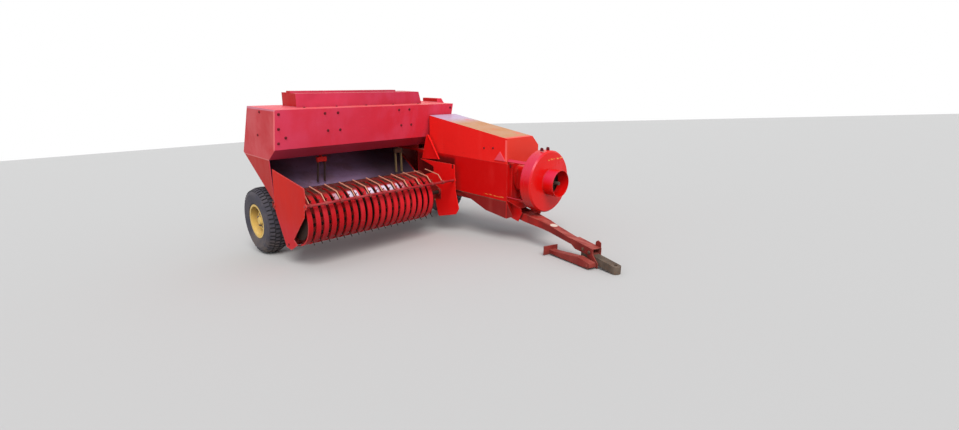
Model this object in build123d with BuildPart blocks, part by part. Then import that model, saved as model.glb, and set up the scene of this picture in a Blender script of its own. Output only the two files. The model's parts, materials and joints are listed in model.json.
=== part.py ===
from build123d import *
import os
from math import acos, asin, atan2, cos, degrees, hypot, radians, sin, sqrt

# Small square baler, towed, parked nose-down on its hitch tongue.
# Millimetres. X runs to the machine's left, Y to its rear, Z up.
# Every piece is laid out on a level machine, with the axle over Y 0 and the
# bale chamber over X 0, and the whole is tipped onto its tongue at the end.

# Stock and clearances
thin_sheet = 4
wall_sheet = 6
heavy_plate = 8
pin_clearance = 0.5
swing_gap = 8

# Wheels and axle
tyre_diameter = 685
tyre_width = 240
tyre_wall = 20
bead_radius = 160
rim_flange_radius = 175
rim_sheet = 6
hub_radius = 45
hub_length = 130
stub_radius = 25
wheel_track_right = 1937
wheel_track_left = 435
axle_beam_size = 70
axle_beam_right = wheel_track_right - 147
axle_beam_left = wheel_track_left - 135
axle_z = tyre_diameter / 2

# Bale chamber
chamber_inner_width = 474
chamber_inner_height = 380
chamber_floor_top = 576
chamber_front = -1790
chamber_rear = 1450

# Needles, knotters
needle_spacing = 180
needle_pivot = (60, 850)
needle_radius = 430
needle_half_depth = 12
needle_thickness = 14
needle_slot_width = 34
needle_rest_angle = -45
needle_root_angle = -112
yoke_gap = 19
yoke_plate = 8
yoke_tube_radius = 22

# Feeder hood and floor, as (y, z) corners of the right-hand end
hood_right = 2000
hood_left = 96
hood_front_top = (-618, 1482)
hood_rear_top = (15, 1490)
hood_rear_low = (237, 1030)
hood_lip = (-378, 1011)
hood_front_low = (-535, 1119)
floor_tip = (-403, 619)
cover_right = 1704
cover_left = 211
cover_front = -412
cover_rear = -112
cover_height = 130
cover_taper = 36

# Plunger
plunger_gap = 4
plunger_face = -425
plunger_length = 380

# Crank hood
crank_hood_rear_z = 1361
crank_hood_front_z = 1205
crank_hood_rear_gap = 5
crank_hole_radius = 95
crank_hood_chamfer = 95

# Flywheel and guard
drive_z = 800
guard_radius = 305
guard_rear = -2015
guard_front = -2136
guard_neck_radius = 130
guard_neck_front = -2270
flywheel_radius = 250
flywheel_width = 60
input_shaft_radius = 17.4

# Pickup
pickup_pivot = (-455, 585)
reel_axis = (-835, 530)
band_radius = 240
band_pitch = 75
band_width = 42
band_count = 19
first_band = 1975
band_sheet = 3
band_flange = 13
tine_tip_radius = 290
tine_bar_radius = 175
tine_bar_count = 4
tine_wire = 6
pickup_right = 2014
pickup_left = 316
crossbar_size = 40
upper_crossbar = (-490, 700)
lower_crossbar = (-650, 262)
guard_tube = (-1084, 700)
guard_tube_radius = 12
guard_tube_pin = 10
rod_wire = 8
rod_count = 11

# Drawbar, heights given along its own length from the swing pin
swing_pin_y = -1700
swing_angle = 17
drawbar_top = ((0, 474), (576, 458), (962, 416), (1290, 400))
drawbar_low = ((0, 390), (576, 388), (962, 366), (1290, 352))
drawbar_width = 80
drawbar_root_width = 150
drawbar_root_end = 330
drawbar_taper_end = 700
drawbar_wall = 6
drawbar_play = 5
head_start = 1015
head_plate = 8
tongue_start = 1150
tongue_end = 1575
tongue_end_top = 338
tongue_depth = 64
tongue_width = 78
hitch_hole_radius = 16
hitch_hole_setback = 45
stand_pivot = (1330, 284)
stand_width = 66
stand_sheet = 5

wall_outer = chamber_inner_width / 2 + wall_sheet
wall_inner = chamber_inner_width / 2
chamber_floor_bottom = chamber_floor_top - wall_sheet
roof_bottom = chamber_floor_top + chamber_inner_height
roof_top = roof_bottom + wall_sheet
needle_columns = (-needle_spacing / 2, needle_spacing / 2)


def side_face(x, points):
    """Closed outline of (y, z) corners in the plane at x that runs along the machine."""
    with BuildSketch(Plane.YZ.offset(x)) as outline:
        with BuildLine():
            Polyline(*points, close=True)
        make_face()
    return outline.sketch


def bent_sheet(x, points, thickness):
    """Section of a folded sheet along an open line of (y, z) corners, on its left hand."""
    with BuildSketch(Plane.YZ.offset(x)) as section:
        with BuildLine():
            Polyline(*points)
            offset(amount=thickness, side=Side.LEFT)
        make_face()
    return section.sketch


def disc_face(x, centre, radius):
    """Round face in the plane at x around a (y, z) centre."""
    with BuildSketch(Plane.YZ.offset(x)) as face:
        with Locations(centre):
            Circle(radius)
    return face.sketch


def bar_corners(start, end, width):
    """Corners of a straight bar between two (y, z) points."""
    length = hypot(end[0] - start[0], end[1] - start[1])
    across = ((start[1] - end[1]) / length * width / 2, (end[0] - start[0]) / length * width / 2)
    return (
        (start[0] + across[0], start[1] + across[1]),
        (end[0] + across[0], end[1] + across[1]),
        (end[0] - across[0], end[1] - across[1]),
        (start[0] - across[0], start[1] - across[1]),
    )


def on_circle(centre, radius, angle):
    """Point at an angle in degrees, counted from the rear over the top."""
    return (centre[0] + radius * cos(radians(angle)), centre[1] + radius * sin(radians(angle)))


def line_height(start, end, y):
    """Height at y of the straight line through two (y, z) points."""
    return start[1] + (end[1] - start[1]) * (y - start[0]) / (end[0] - start[0])


def floor_line(y):
    return line_height(floor_tip, hood_rear_low, y)


floor_slope = atan2(hood_rear_low[1] - floor_tip[1], hood_rear_low[0] - floor_tip[0])
floor_drop = thin_sheet / cos(floor_slope)


def inset_face(x, points, margin):
    """Closed outline of (y, z) corners in the plane at x, drawn in by a margin."""
    with BuildSketch(Plane.YZ.offset(x)) as outline:
        with BuildLine():
            Polyline(*points, close=True)
        make_face()
        offset(amount=-margin, kind=Kind.INTERSECTION)
    return outline.sketch


def sector_face(x, centre, inner, outer, start, end):
    """Slice of a ring in the plane at x around a (y, z) centre, between two angles."""
    with BuildSketch(Plane.YZ.offset(x)) as face:
        with BuildLine():
            near = CenterArc(centre, inner, start, end - start)
            far = CenterArc(centre, outer, start, end - start)
            Line(near @ 0, far @ 0)
            Line(near @ 1, far @ 1)
        make_face()
    return face.sketch


def needle_y(z):
    """Where the needles' circle crosses a height, behind the yoke pivot."""
    return needle_pivot[0] + sqrt(needle_radius**2 - (z - needle_pivot[1]) ** 2)


# Bale chamber
chamber_length = chamber_rear - chamber_front
chamber_middle_y = (chamber_front + chamber_rear) / 2
wall_middle_z = (chamber_floor_top + roof_bottom) / 2
needle_slot_length = 90
star_wheel_y = 1080
star_wheel_radius = 115
star_wheel_width = 12
star_wheel_reach = 22
star_axis_z = roof_bottom - star_wheel_reach + star_wheel_radius
star_slot_length = 200
rib_width = 40
rib_depth = 25
rear_ribs = (620, 1000, 1390)
left_ribs = (-1500, -1000, -600, *rear_ribs)
ramp_pivot = (chamber_rear + 40, chamber_floor_bottom - 10)
ramp_pin_radius = 8
ramp_pin_length = 30
ramp_lug_radius = 14
ramp_lug_reach = 80
ramp_lug_x = 213
yoke_pin_radius = 16
yoke_boss_radius = yoke_pin_radius + 12
yoke_boss_gap = 3
yoke_pin_end = 10
yoke_inner = wall_outer + yoke_gap
yoke_outer = yoke_inner + yoke_plate

with BuildPart() as chamber_floor:
    with Locations((0, chamber_middle_y, chamber_floor_top - wall_sheet / 2)):
        Box(2 * wall_outer, chamber_length, wall_sheet)
    with Locations(*[(x, needle_y(chamber_floor_top), chamber_floor_top) for x in needle_columns]):
        Box(needle_slot_width, needle_slot_length, 4 * wall_sheet, mode=Mode.SUBTRACT)
    lug = ((chamber_rear - ramp_lug_reach, chamber_floor_bottom), (chamber_rear, chamber_floor_bottom),
           (ramp_pivot[0], ramp_pivot[1] + ramp_lug_radius), (ramp_pivot[0], ramp_pivot[1] - ramp_lug_radius),
           (chamber_rear - ramp_lug_reach + 20, ramp_pivot[1] - ramp_lug_radius))
    for x in (-ramp_lug_x, ramp_lug_x - heavy_plate):
        extrude(side_face(x, lug), amount=heavy_plate)
        extrude(disc_face(x, ramp_pivot, ramp_lug_radius), amount=heavy_plate)
    for x in (-ramp_lug_x, ramp_lug_x - ramp_pin_length):
        extrude(disc_face(x, ramp_pivot, ramp_pin_radius), amount=ramp_pin_length)

with BuildPart() as chamber_wall_left:
    with Locations((wall_outer - wall_sheet / 2, chamber_middle_y, wall_middle_z)):
        Box(wall_sheet, chamber_length, chamber_inner_height)
    with Locations(*[(wall_outer + rib_depth / 2, y, wall_middle_z) for y in left_ribs]):
        Box(rib_depth, rib_width, chamber_inner_height)
    extrude(disc_face(wall_outer, needle_pivot, yoke_boss_radius), amount=yoke_gap - yoke_boss_gap)
    extrude(disc_face(wall_outer, needle_pivot, yoke_pin_radius),
            amount=yoke_outer - wall_outer + yoke_pin_end)

feed_front = plunger_face + 55
feed_top = roof_bottom - 20
feed_opening = ((feed_front, floor_line(feed_front) + wall_sheet), (feed_front, feed_top), (60, feed_top))

with BuildPart() as chamber_wall_right:
    with Locations((-wall_outer + wall_sheet / 2, chamber_middle_y, wall_middle_z)):
        Box(wall_sheet, chamber_length, chamber_inner_height)
    with Locations(*[(-wall_outer - rib_depth / 2, y, wall_middle_z) for y in rear_ribs]):
        Box(rib_depth, rib_width, chamber_inner_height)
    extrude(side_face(-wall_outer - 1, feed_opening), amount=wall_sheet + 2, mode=Mode.SUBTRACT)
    extrude(disc_face(-wall_outer - yoke_gap + yoke_boss_gap, needle_pivot, yoke_boss_radius),
            amount=yoke_gap - yoke_boss_gap)
    extrude(disc_face(-yoke_outer - yoke_pin_end, needle_pivot, yoke_pin_radius),
            amount=yoke_outer - wall_outer + yoke_pin_end)

crank_hood_rear = (hood_front_top[0] - crank_hood_rear_gap
                   + (hood_front_low[0] - hood_front_top[0])
                   * (hood_front_top[1] - crank_hood_rear_z) / (hood_front_top[1] - hood_front_low[1]))

with BuildPart() as chamber_roof:
    with Locations((0, (crank_hood_rear + chamber_rear) / 2, roof_top - wall_sheet / 2)):
        Box(2 * wall_outer, chamber_rear - crank_hood_rear, wall_sheet)
    with Locations(*[(x, needle_y(roof_top), roof_top) for x in needle_columns]):
        Box(needle_slot_width, needle_slot_length, 4 * wall_sheet, mode=Mode.SUBTRACT)
    with Locations((0, star_wheel_y, roof_top)):
        Box(star_wheel_width + 2 * swing_gap, star_slot_length, 4 * wall_sheet, mode=Mode.SUBTRACT)

# Plunger, seen through the feed opening, on two slides
plunger_wall = 20
plunger_width = 2 * (wall_inner - plunger_gap)
plunger_height = chamber_inner_height - 2 * plunger_gap
plunger_middle_y = plunger_face - plunger_length / 2
slide_x = 150
slide_width = 60

with BuildPart() as plunger:
    with Locations((0, plunger_middle_y, wall_middle_z)):
        Box(plunger_width, plunger_length, plunger_height)
    with Locations((0, plunger_middle_y - plunger_wall / 2, wall_middle_z)):
        Box(plunger_width - 2 * plunger_wall, plunger_length - plunger_wall,
            plunger_height - 2 * plunger_wall, mode=Mode.SUBTRACT)
    slide_z = chamber_floor_top + plunger_gap / 2
    with Locations(*[(x, plunger_middle_y, slide_z) for x in (-slide_x, slide_x)]):
        Box(slide_width, plunger_length, plunger_gap)

# Crank hood and front frame
crank_hood_outline = (
    (crank_hood_rear, roof_bottom),
    (crank_hood_rear, crank_hood_rear_z),
    (chamber_front + 8, crank_hood_front_z),
    (chamber_front, roof_bottom),
)

with BuildPart() as crank_hood:
    extrude(side_face(-wall_outer, crank_hood_outline), amount=2 * wall_outer)
    left_edges = crank_hood.edges().group_by(Axis.X)[-1]
    chamfer(left_edges.sort_by(Axis.Z)[-1], length=crank_hood_chamfer)
    offset(amount=-thin_sheet, openings=crank_hood.faces().sort_by(Axis.Z)[0])

front_plate_y = chamber_front - heavy_plate
front_plate_low = 400
drawbar_window = (300, 96)

with BuildPart() as front_frame:
    with BuildSketch(Plane.XZ.offset(-chamber_front)):
        with Locations((0, (front_plate_low + roof_bottom) / 2)):
            Rectangle(2 * wall_outer, roof_bottom - front_plate_low)
        with Locations((0, drive_z)):
            Circle(crank_hole_radius, mode=Mode.SUBTRACT)
        with Locations((0, front_plate_low + drawbar_window[1] / 2 - 1)):
            Rectangle(drawbar_window[0], drawbar_window[1] + 2, mode=Mode.SUBTRACT)
    extrude(amount=heavy_plate)

gearbox_width = 230
gearbox_depth = 130
gearbox_height = 260
gearbox_boss = 40
gearbox_corner = 40
gearbox_flange_radius = 155
gearbox_flange = 20
output_radius = 60

with BuildPart() as gearbox:
    with Locations((0, front_plate_y - gearbox_depth / 2, drive_z)):
        Box(gearbox_width, gearbox_depth, gearbox_height)
    fillet(gearbox.edges().filter_by(Axis.Y), radius=gearbox_corner)
    with Locations((0, front_plate_y - gearbox_flange / 2, drive_z)):
        Cylinder(gearbox_flange_radius, gearbox_flange, rotation=(90, 0, 0))
    with Locations((0, front_plate_y - gearbox_depth - gearbox_boss / 2, drive_z)):
        Cylinder(output_radius, gearbox_boss, rotation=(90, 0, 0))

# Flywheel with the input shaft, and its round guard
flywheel_front = guard_front + 20
flywheel_rear = flywheel_front + flywheel_width
hub_rear = front_plate_y - gearbox_depth - gearbox_boss - 1
hub_front = flywheel_front - 8
input_front = guard_neck_front + 20
flywheel_rim = 40
flywheel_web = 20
flywheel_hub_radius = 48

with BuildPart() as flywheel:
    with Locations((0, (flywheel_front + flywheel_rear) / 2, drive_z)):
        Cylinder(flywheel_radius, flywheel_width, rotation=(90, 0, 0))
        Cylinder(flywheel_radius - flywheel_rim, flywheel_width, rotation=(90, 0, 0), mode=Mode.SUBTRACT)
        Cylinder(flywheel_radius - flywheel_rim + 1, flywheel_web, rotation=(90, 0, 0))
    with Locations((0, (hub_rear + hub_front) / 2, drive_z)):
        Cylinder(flywheel_hub_radius, hub_rear - hub_front, rotation=(90, 0, 0))
    with Locations((0, (hub_front + input_front) / 2, drive_z)):
        Cylinder(input_shaft_radius, hub_front - input_front, rotation=(90, 0, 0))

guard_edge = 14
guard_bulge = 12
guard_profile = (
    (guard_radius, guard_rear),
    (guard_radius, guard_front + guard_edge),
    (guard_radius - guard_edge, guard_front),
    (guard_neck_radius, guard_front - guard_bulge),
    (guard_neck_radius, guard_neck_front),
    (guard_neck_radius - thin_sheet, guard_neck_front),
    (guard_neck_radius - thin_sheet, guard_front - guard_bulge + thin_sheet),
    (guard_radius - guard_edge - thin_sheet / 2, guard_front + thin_sheet),
    (guard_radius - thin_sheet, guard_front + guard_edge + thin_sheet / 2),
    (guard_radius - thin_sheet, guard_rear),
)
# Angle of each stay around the guard, and the Y where it meets the machine
guard_stays = ((40, chamber_front), (140, chamber_front), (218, front_plate_y), (322, front_plate_y))
stay_thickness = 6
stay_width = 30
stay_lap = 20

with BuildPart() as flywheel_guard:
    with BuildSketch(Plane(origin=(0, 0, drive_z), x_dir=(1, 0, 0), z_dir=(0, 0, 1))):
        with BuildLine():
            Polyline(*guard_profile, close=True)
        make_face()
    revolve(axis=Axis((0, 0, drive_z), (0, 1, 0)))
    for angle, seat_y in guard_stays:
        stay_radius = guard_radius - thin_sheet - stay_thickness / 2 + 0.5
        x, z = on_circle((0, drive_z), stay_radius, angle)
        y_front = guard_rear - stay_lap
        with Locations(Location((x, (y_front + seat_y) / 2, z), (0, 90 - angle, 0))):
            Box(stay_width, seat_y - y_front, stay_thickness)

# Feeder hood, open below, with its sloping floor and side wall
hood_outline = (hood_front_top, hood_rear_top, hood_rear_low, hood_lip, hood_front_low)
hood_mouth = (
    (hood_lip[0] + thin_sheet, hood_lip[1] - 40),
    (hood_lip[0] + thin_sheet, hood_lip[1] + 12),
    (hood_rear_low[0] - 1.2 * thin_sheet, hood_rear_low[1] + 12),
    (hood_rear_low[0] - 1.2 * thin_sheet, hood_rear_low[1] - 60),
)
hood_length = hood_right + hood_left
left_cheek = (
    (hood_front_low[0] + 30, hood_front_low[1] + 10),
    (hood_rear_low[0], hood_rear_low[1]),
    (hood_rear_low[0], roof_top),
    (hood_front_low[0] + 60, roof_top),
)
inner_cheek = (hood_lip, hood_rear_low, (hood_rear_low[0], roof_top), (hood_lip[0], roof_top))

with BuildPart() as feeder_hood:
    extrude(side_face(-hood_right, hood_outline), amount=hood_length)
    extrude(inset_face(-hood_right + thin_sheet, hood_outline, thin_sheet),
            amount=hood_length - 2 * thin_sheet, mode=Mode.SUBTRACT)
    extrude(side_face(-hood_right + thin_sheet, hood_mouth),
            amount=hood_length - 2 * thin_sheet, mode=Mode.SUBTRACT)
    extrude(side_face(hood_left - thin_sheet, left_cheek), amount=thin_sheet)
    extrude(side_face(-wall_outer, inner_cheek), amount=thin_sheet)


def hood_top_z(y):
    return line_height(hood_front_top, hood_rear_top, y)


cover_outline = (
    (cover_front, hood_top_z(cover_front)),
    (cover_front, hood_top_z(cover_front) + cover_height),
    (cover_rear, hood_top_z(cover_rear) + cover_height),
    (cover_rear, hood_top_z(cover_rear)),
)
cover_length = cover_right - cover_left
cover_ridge_rise = 20
cover_ridge_width = 90
cover_ridge_left = 490

with BuildPart() as feeder_top_cover:
    extrude(side_face(-cover_right, cover_outline), amount=cover_length)
    taper_edge = feeder_top_cover.edges().group_by(Axis.X)[-1].sort_by(Axis.Z)[-1]
    left_face = feeder_top_cover.faces().sort_by(Axis.X)[-1]
    chamfer(taper_edge, length=cover_height - 2, length2=cover_taper, reference=left_face)
    offset(amount=-thin_sheet, openings=feeder_top_cover.faces().sort_by(Axis.Z)[0])
    ridge_y = (cover_front + cover_rear) / 2
    with Locations((-(cover_right + cover_ridge_left) / 2, ridge_y,
                    hood_top_z(ridge_y) + cover_height + cover_ridge_rise / 2 - 2)):
        Box(cover_right - cover_ridge_left, cover_ridge_width, cover_ridge_rise)

side_wall_outline = (
    hood_rear_low,
    hood_lip,
    floor_tip,
    (floor_tip[0], floor_tip[1] - floor_drop),
    (hood_rear_low[0], hood_rear_low[1] - floor_drop),
)

with BuildPart() as feed_side_wall:
    extrude(side_face(-hood_right, side_wall_outline), amount=thin_sheet)

flange_low = 550
with BuildPart() as feed_floor:
    extrude(bent_sheet(-hood_right + thin_sheet, (hood_rear_low, floor_tip, (floor_tip[0], flange_low)),
                       thin_sheet), amount=hood_right - thin_sheet - wall_outer)

beam_size = 60
beam_wall = 5
beam_front = floor_tip[0] + thin_sheet
beam_length = hood_right - thin_sheet - wall_outer

with BuildPart() as feeder_beam:
    with Locations((-wall_outer - beam_length / 2, beam_front + beam_size / 2, flange_low + beam_size / 2)):
        Box(beam_length, beam_size, beam_size)
        Box(beam_length, beam_size - 2 * beam_wall, beam_size - 2 * beam_wall, mode=Mode.SUBTRACT)

# Crank shaft of the feeder and its hanging forks
feeder_axis = (-150, 1250)
feeder_shaft_radius = 25
shaft_bearing_radius = 55
shaft_bearing = 20
crank_boss_radius = 45
crank_boss = 16
crank_arm = (44, 10)
clevis_size = (24, 34, 46)
fork_clevis = (-330, 960)
# X of each fork and (y, z) of its tips
fork_places = ((-1450, (-290, 722)), (-500, (-338, 712)))
prong_spread = 76
prong_width = 12
prong_depth = 24

with BuildPart() as feeder_shaft:
    extrude(disc_face(-hood_right + thin_sheet, feeder_axis, feeder_shaft_radius),
            amount=hood_length - 2 * thin_sheet)
    for x in (-hood_right + thin_sheet, hood_left - thin_sheet - shaft_bearing):
        extrude(disc_face(x, feeder_axis, shaft_bearing_radius), amount=shaft_bearing)

with BuildPart() as feeder_forks:
    for x, fork_tip in fork_places:
        extrude(disc_face(x - crank_boss / 2, feeder_axis, crank_boss_radius), amount=crank_boss)
        extrude(side_face(x - crank_arm[1] / 2, bar_corners(feeder_axis, fork_clevis, crank_arm[0])),
                amount=crank_arm[1])
        with Locations((x, *fork_clevis)):
            Box(prong_spread + clevis_size[0], clevis_size[1], clevis_size[2])
        for side in (-1, 1):
            extrude(side_face(x + side * prong_spread / 2 - prong_width / 2,
                              bar_corners(fork_clevis, fork_tip, prong_depth)), amount=prong_width)
    extrude(disc_face(-hood_right, feeder_axis, feeder_shaft_radius), amount=hood_length, mode=Mode.SUBTRACT)

drive_case_outline = (
    (hood_left, roof_top), (wall_outer - 12, roof_top), (wall_outer - 12, 1440), (165, 1530),
    (hood_left, 1530),
)
drive_case_front = -330
drive_case_length = 270

with BuildPart() as feeder_drive_case:
    with BuildSketch(Plane.XZ.offset(-drive_case_front)):
        with BuildLine():
            Polyline(*drive_case_outline, close=True)
        make_face()
    extrude(amount=-drive_case_length)
    offset(amount=-thin_sheet, openings=feeder_drive_case.faces().sort_by(Axis.Z)[0])

gusset_x = 288
gusset_flange = 12
gusset_spacer = 40
# Where each spacer joins the gusset to the chamber wall, as (y, z)
gusset_spacers = ((-625, 1060), (-700, 905))
gusset_outline = ((-628, 1148), (-592, 1148), (-506, 872), (-560, 868), (-814, 892))
with BuildPart() as inlet_gusset:
    extrude(side_face(-gusset_x, gusset_outline), amount=wall_sheet)
    gusset_rear_edge = bar_corners(gusset_outline[0], gusset_outline[-1], wall_sheet)
    extrude(side_face(-gusset_x - gusset_flange, gusset_rear_edge),
            amount=gusset_flange + wall_sheet)
    with Locations(*[(-(gusset_x + wall_outer) / 2 + wall_sheet / 2, *place) for place in gusset_spacers]):
        Box(gusset_x - wall_outer - wall_sheet, gusset_spacer, gusset_spacer)

# Underframe: belly plates, channels, axle and drawbar bracket
belly_outline = ((-1125, chamber_floor_bottom), (-1505, 433), (-1789, 400), (-1790, chamber_floor_bottom))
belly_nose = ((-1798, 400), (-1881, 435), (-1798, 560))
belly_sheet_line = ((-1135, chamber_floor_bottom - 4), (-1505, 434), (-1590, 424))
channel_x = 200
channel_size = 60
channel_front = -1560
channel_rear = -600
channel_wall = 6
channel_middle_y = (channel_front + channel_rear) / 2
channel_middle_z = chamber_floor_bottom - channel_size / 2

with BuildPart() as underframe:
    for x in (-wall_outer, wall_outer - wall_sheet):
        extrude(side_face(x, belly_outline), amount=wall_sheet)
        extrude(side_face(x, belly_nose), amount=wall_sheet)
    extrude(bent_sheet(-wall_inner, belly_sheet_line, thin_sheet), amount=2 * wall_inner)
    for side in (-1, 1):
        with Locations((side * channel_x, channel_middle_y, channel_middle_z)):
            Box(channel_size, channel_rear - channel_front, channel_size)
        with Locations((side * (channel_x - channel_wall), channel_middle_y, channel_middle_z)):
            Box(channel_size, channel_rear - channel_front + 2, channel_size - 2 * channel_wall,
                mode=Mode.SUBTRACT)

half_beam = axle_beam_size / 2
front_strut = (
    (-half_beam, axle_z - half_beam), (-half_beam, axle_z + 25),
    (-420, chamber_floor_bottom), (-560, chamber_floor_bottom),
)
rear_strut = (
    (half_beam, axle_z - half_beam), (half_beam, axle_z),
    (820, chamber_floor_bottom), (980, chamber_floor_bottom),
)
strut_x = 205
strut_plate = 10
tower_plate = 10
tower_columns = (-1510, -700)
tower_half_top = 130
axle_wall = 8
hub_inner = hub_length / 2
hub_play = 2
stub_collar_radius = stub_radius + 12
stub_end = 60
axle_length = axle_beam_left + axle_beam_right

with BuildPart() as axle_beam:
    with Locations(((axle_beam_left - axle_beam_right) / 2, 0, axle_z)):
        Box(axle_length, axle_beam_size, axle_beam_size)
        Box(axle_length - 2 * axle_wall, axle_beam_size - 2 * axle_wall, axle_beam_size - 2 * axle_wall,
            mode=Mode.SUBTRACT)
    right_hub = wheel_track_right - hub_inner - hub_play
    extrude(disc_face(-right_hub, (0, axle_z), stub_collar_radius), amount=right_hub - axle_beam_right)
    extrude(disc_face(-wheel_track_right - stub_end, (0, axle_z), stub_radius),
            amount=wheel_track_right + stub_end - axle_beam_right)
    extrude(disc_face(axle_beam_left, (0, axle_z), stub_collar_radius),
            amount=wheel_track_left - hub_inner - hub_play - axle_beam_left)
    extrude(disc_face(axle_beam_left, (0, axle_z), stub_radius),
            amount=wheel_track_left + stub_end - axle_beam_left)
    for x in (-strut_x, strut_x - strut_plate):
        extrude(side_face(x, front_strut), amount=strut_plate)
        extrude(side_face(x, rear_strut), amount=strut_plate)
    tower = (
        (-half_beam, axle_z + half_beam), (half_beam, axle_z + half_beam),
        (tower_half_top, floor_line(tower_half_top) - floor_drop),
        (-tower_half_top, floor_line(-tower_half_top) - floor_drop),
    )
    for x in tower_columns:
        extrude(side_face(x, tower), amount=tower_plate)

swing_plate_bottom = drawbar_top[0][1] + drawbar_play
lower_plate_top = drawbar_low[0][1] - drawbar_play
bracket_rear = swing_pin_y + 90
swing_pin_radius = 16
# Sloping plate and cheeks that carry the pin's load forward, as (y, z)
apron_top = (front_plate_y, 588)
apron_low = (front_plate_y - 130, 515)
apron_sheet = 6
apron_length = hypot(apron_low[0] - apron_top[0], apron_low[1] - apron_top[1])
apron_slope = atan2(apron_top[1] - apron_low[1], apron_top[0] - apron_low[0])
cheek_x = 166
cheek_outline = (
    apron_top, apron_low, (front_plate_y - 145, 470), (front_plate_y - 100, 378),
    (front_plate_y, front_plate_low),
)
swing_plate_width = 200
pin_head = 8

with BuildPart() as drawbar_bracket:
    with Locations((0, (chamber_front + bracket_rear) / 2, swing_plate_bottom + heavy_plate / 2)):
        Box(2 * wall_inner, bracket_rear - chamber_front, heavy_plate)
    with Locations((0, (chamber_front + bracket_rear) / 2, lower_plate_top - heavy_plate / 2)):
        Box(swing_plate_width, bracket_rear - chamber_front, heavy_plate)
    with Locations((0, bracket_rear - heavy_plate / 2,
                    (swing_plate_bottom + lower_plate_top) / 2)):
        Box(swing_plate_width, heavy_plate, swing_plate_bottom - lower_plate_top)
    with Locations((0, swing_pin_y, (swing_plate_bottom + lower_plate_top) / 2)):
        Cylinder(swing_pin_radius, swing_plate_bottom - lower_plate_top + 2 * (heavy_plate + pin_head))
    with BuildSketch(Plane(origin=(0, *apron_top), x_dir=(1, 0, 0),
                           z_dir=(0, -sin(apron_slope), cos(apron_slope)))):
        with BuildLine():
            Polyline((-wall_outer, 0), (wall_outer, 0), (cheek_x + heavy_plate, -apron_length),
                     (-cheek_x - heavy_plate, -apron_length), close=True)
        make_face()
    extrude(amount=apron_sheet)
    for x in (-cheek_x - heavy_plate, cheek_x):
        extrude(side_face(x, cheek_outline), amount=heavy_plate)

# Drawbar, laid out along its own length and swung to the machine's right
along = (-sin(radians(swing_angle)), -cos(radians(swing_angle)))
drawbar_plane = Plane(origin=(0, swing_pin_y, 0), x_dir=(*along, 0), z_dir=(along[1], -along[0], 0))


def drawbar_face(offset_right, points, margin=0):
    """Closed outline of (distance, height) corners, set off to the drawbar's right."""
    with BuildSketch(drawbar_plane.offset(offset_right)) as outline:
        with BuildLine():
            Polyline(*points, close=True)
        make_face()
        if margin:
            offset(amount=-margin, kind=Kind.INTERSECTION)
    return outline.sketch


def drawbar_disc(offset_right, centre, radius):
    """Round face at a (distance, height) centre, set off to the drawbar's right."""
    with BuildSketch(drawbar_plane.offset(offset_right)) as face:
        with Locations(centre):
            Circle(radius)
    return face.sketch


def drawbar_plan(margin):
    """The drawbar's outline from above, wide at its root, drawn in at the sides by a margin."""
    root = drawbar_root_width / 2 - margin
    end = drawbar_width / 2 - margin
    half = ((0, root), (drawbar_root_end, root), (drawbar_taper_end, end), (drawbar_top[-1][0], end))
    with BuildSketch(Plane(origin=(0, swing_pin_y, 1), x_dir=(*along, 0), z_dir=(0, 0, 1))) as outline:
        with BuildLine():
            Polyline(*half, *[(distance, -side) for distance, side in reversed(half)], close=True)
        make_face()
    return outline.sketch


drawbar_end, drawbar_end_top = drawbar_top[-1]
drawbar_end_low = drawbar_low[-1][1]
drawbar_outline = (*drawbar_top, *reversed(drawbar_low))
hollow_start = 110
boss_radius = 60
drawbar_hollow = (
    (hollow_start, drawbar_top[0][1] - drawbar_wall),
    *[(u, z - drawbar_wall) for u, z in drawbar_top[1:]],
    *[(u, z + drawbar_wall) for u, z in reversed(drawbar_low[1:])],
    (hollow_start, drawbar_low[0][1] + drawbar_wall),
)
head_outline = (
    (head_start, line_height(drawbar_top[2], drawbar_top[3], head_start) + head_plate),
    (drawbar_end + 14, drawbar_end_top + head_plate),
    (drawbar_end + 14, drawbar_end_low - 10),
    (head_start + 60, drawbar_end_low - 10),
    (head_start, drawbar_end_low + 20),
)
lug_outline = (
    (tongue_start + 70, drawbar_end_low + head_plate), (drawbar_end + 14, drawbar_end_low + head_plate),
    (stand_pivot[0] + 40, stand_pivot[1] + 20), (stand_pivot[0] + 40, stand_pivot[1] - 22),
    (stand_pivot[0] - 40, stand_pivot[1] - 22),
)
hook_outline = (
    (drawbar_end - 60, drawbar_end_top), (drawbar_end - 52, drawbar_end_top + 46),
    (drawbar_end - 30, drawbar_end_top + 62), (drawbar_end + 6, drawbar_end_top + 50),
    (drawbar_end + 10, drawbar_end_top),
)
head_outer = drawbar_width / 2 + head_plate
stand_inner = head_outer + swing_gap
stand_pin_radius = 12
stand_boss_radius = 26
lug_inner = tongue_width / 2 + 0.5

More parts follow.
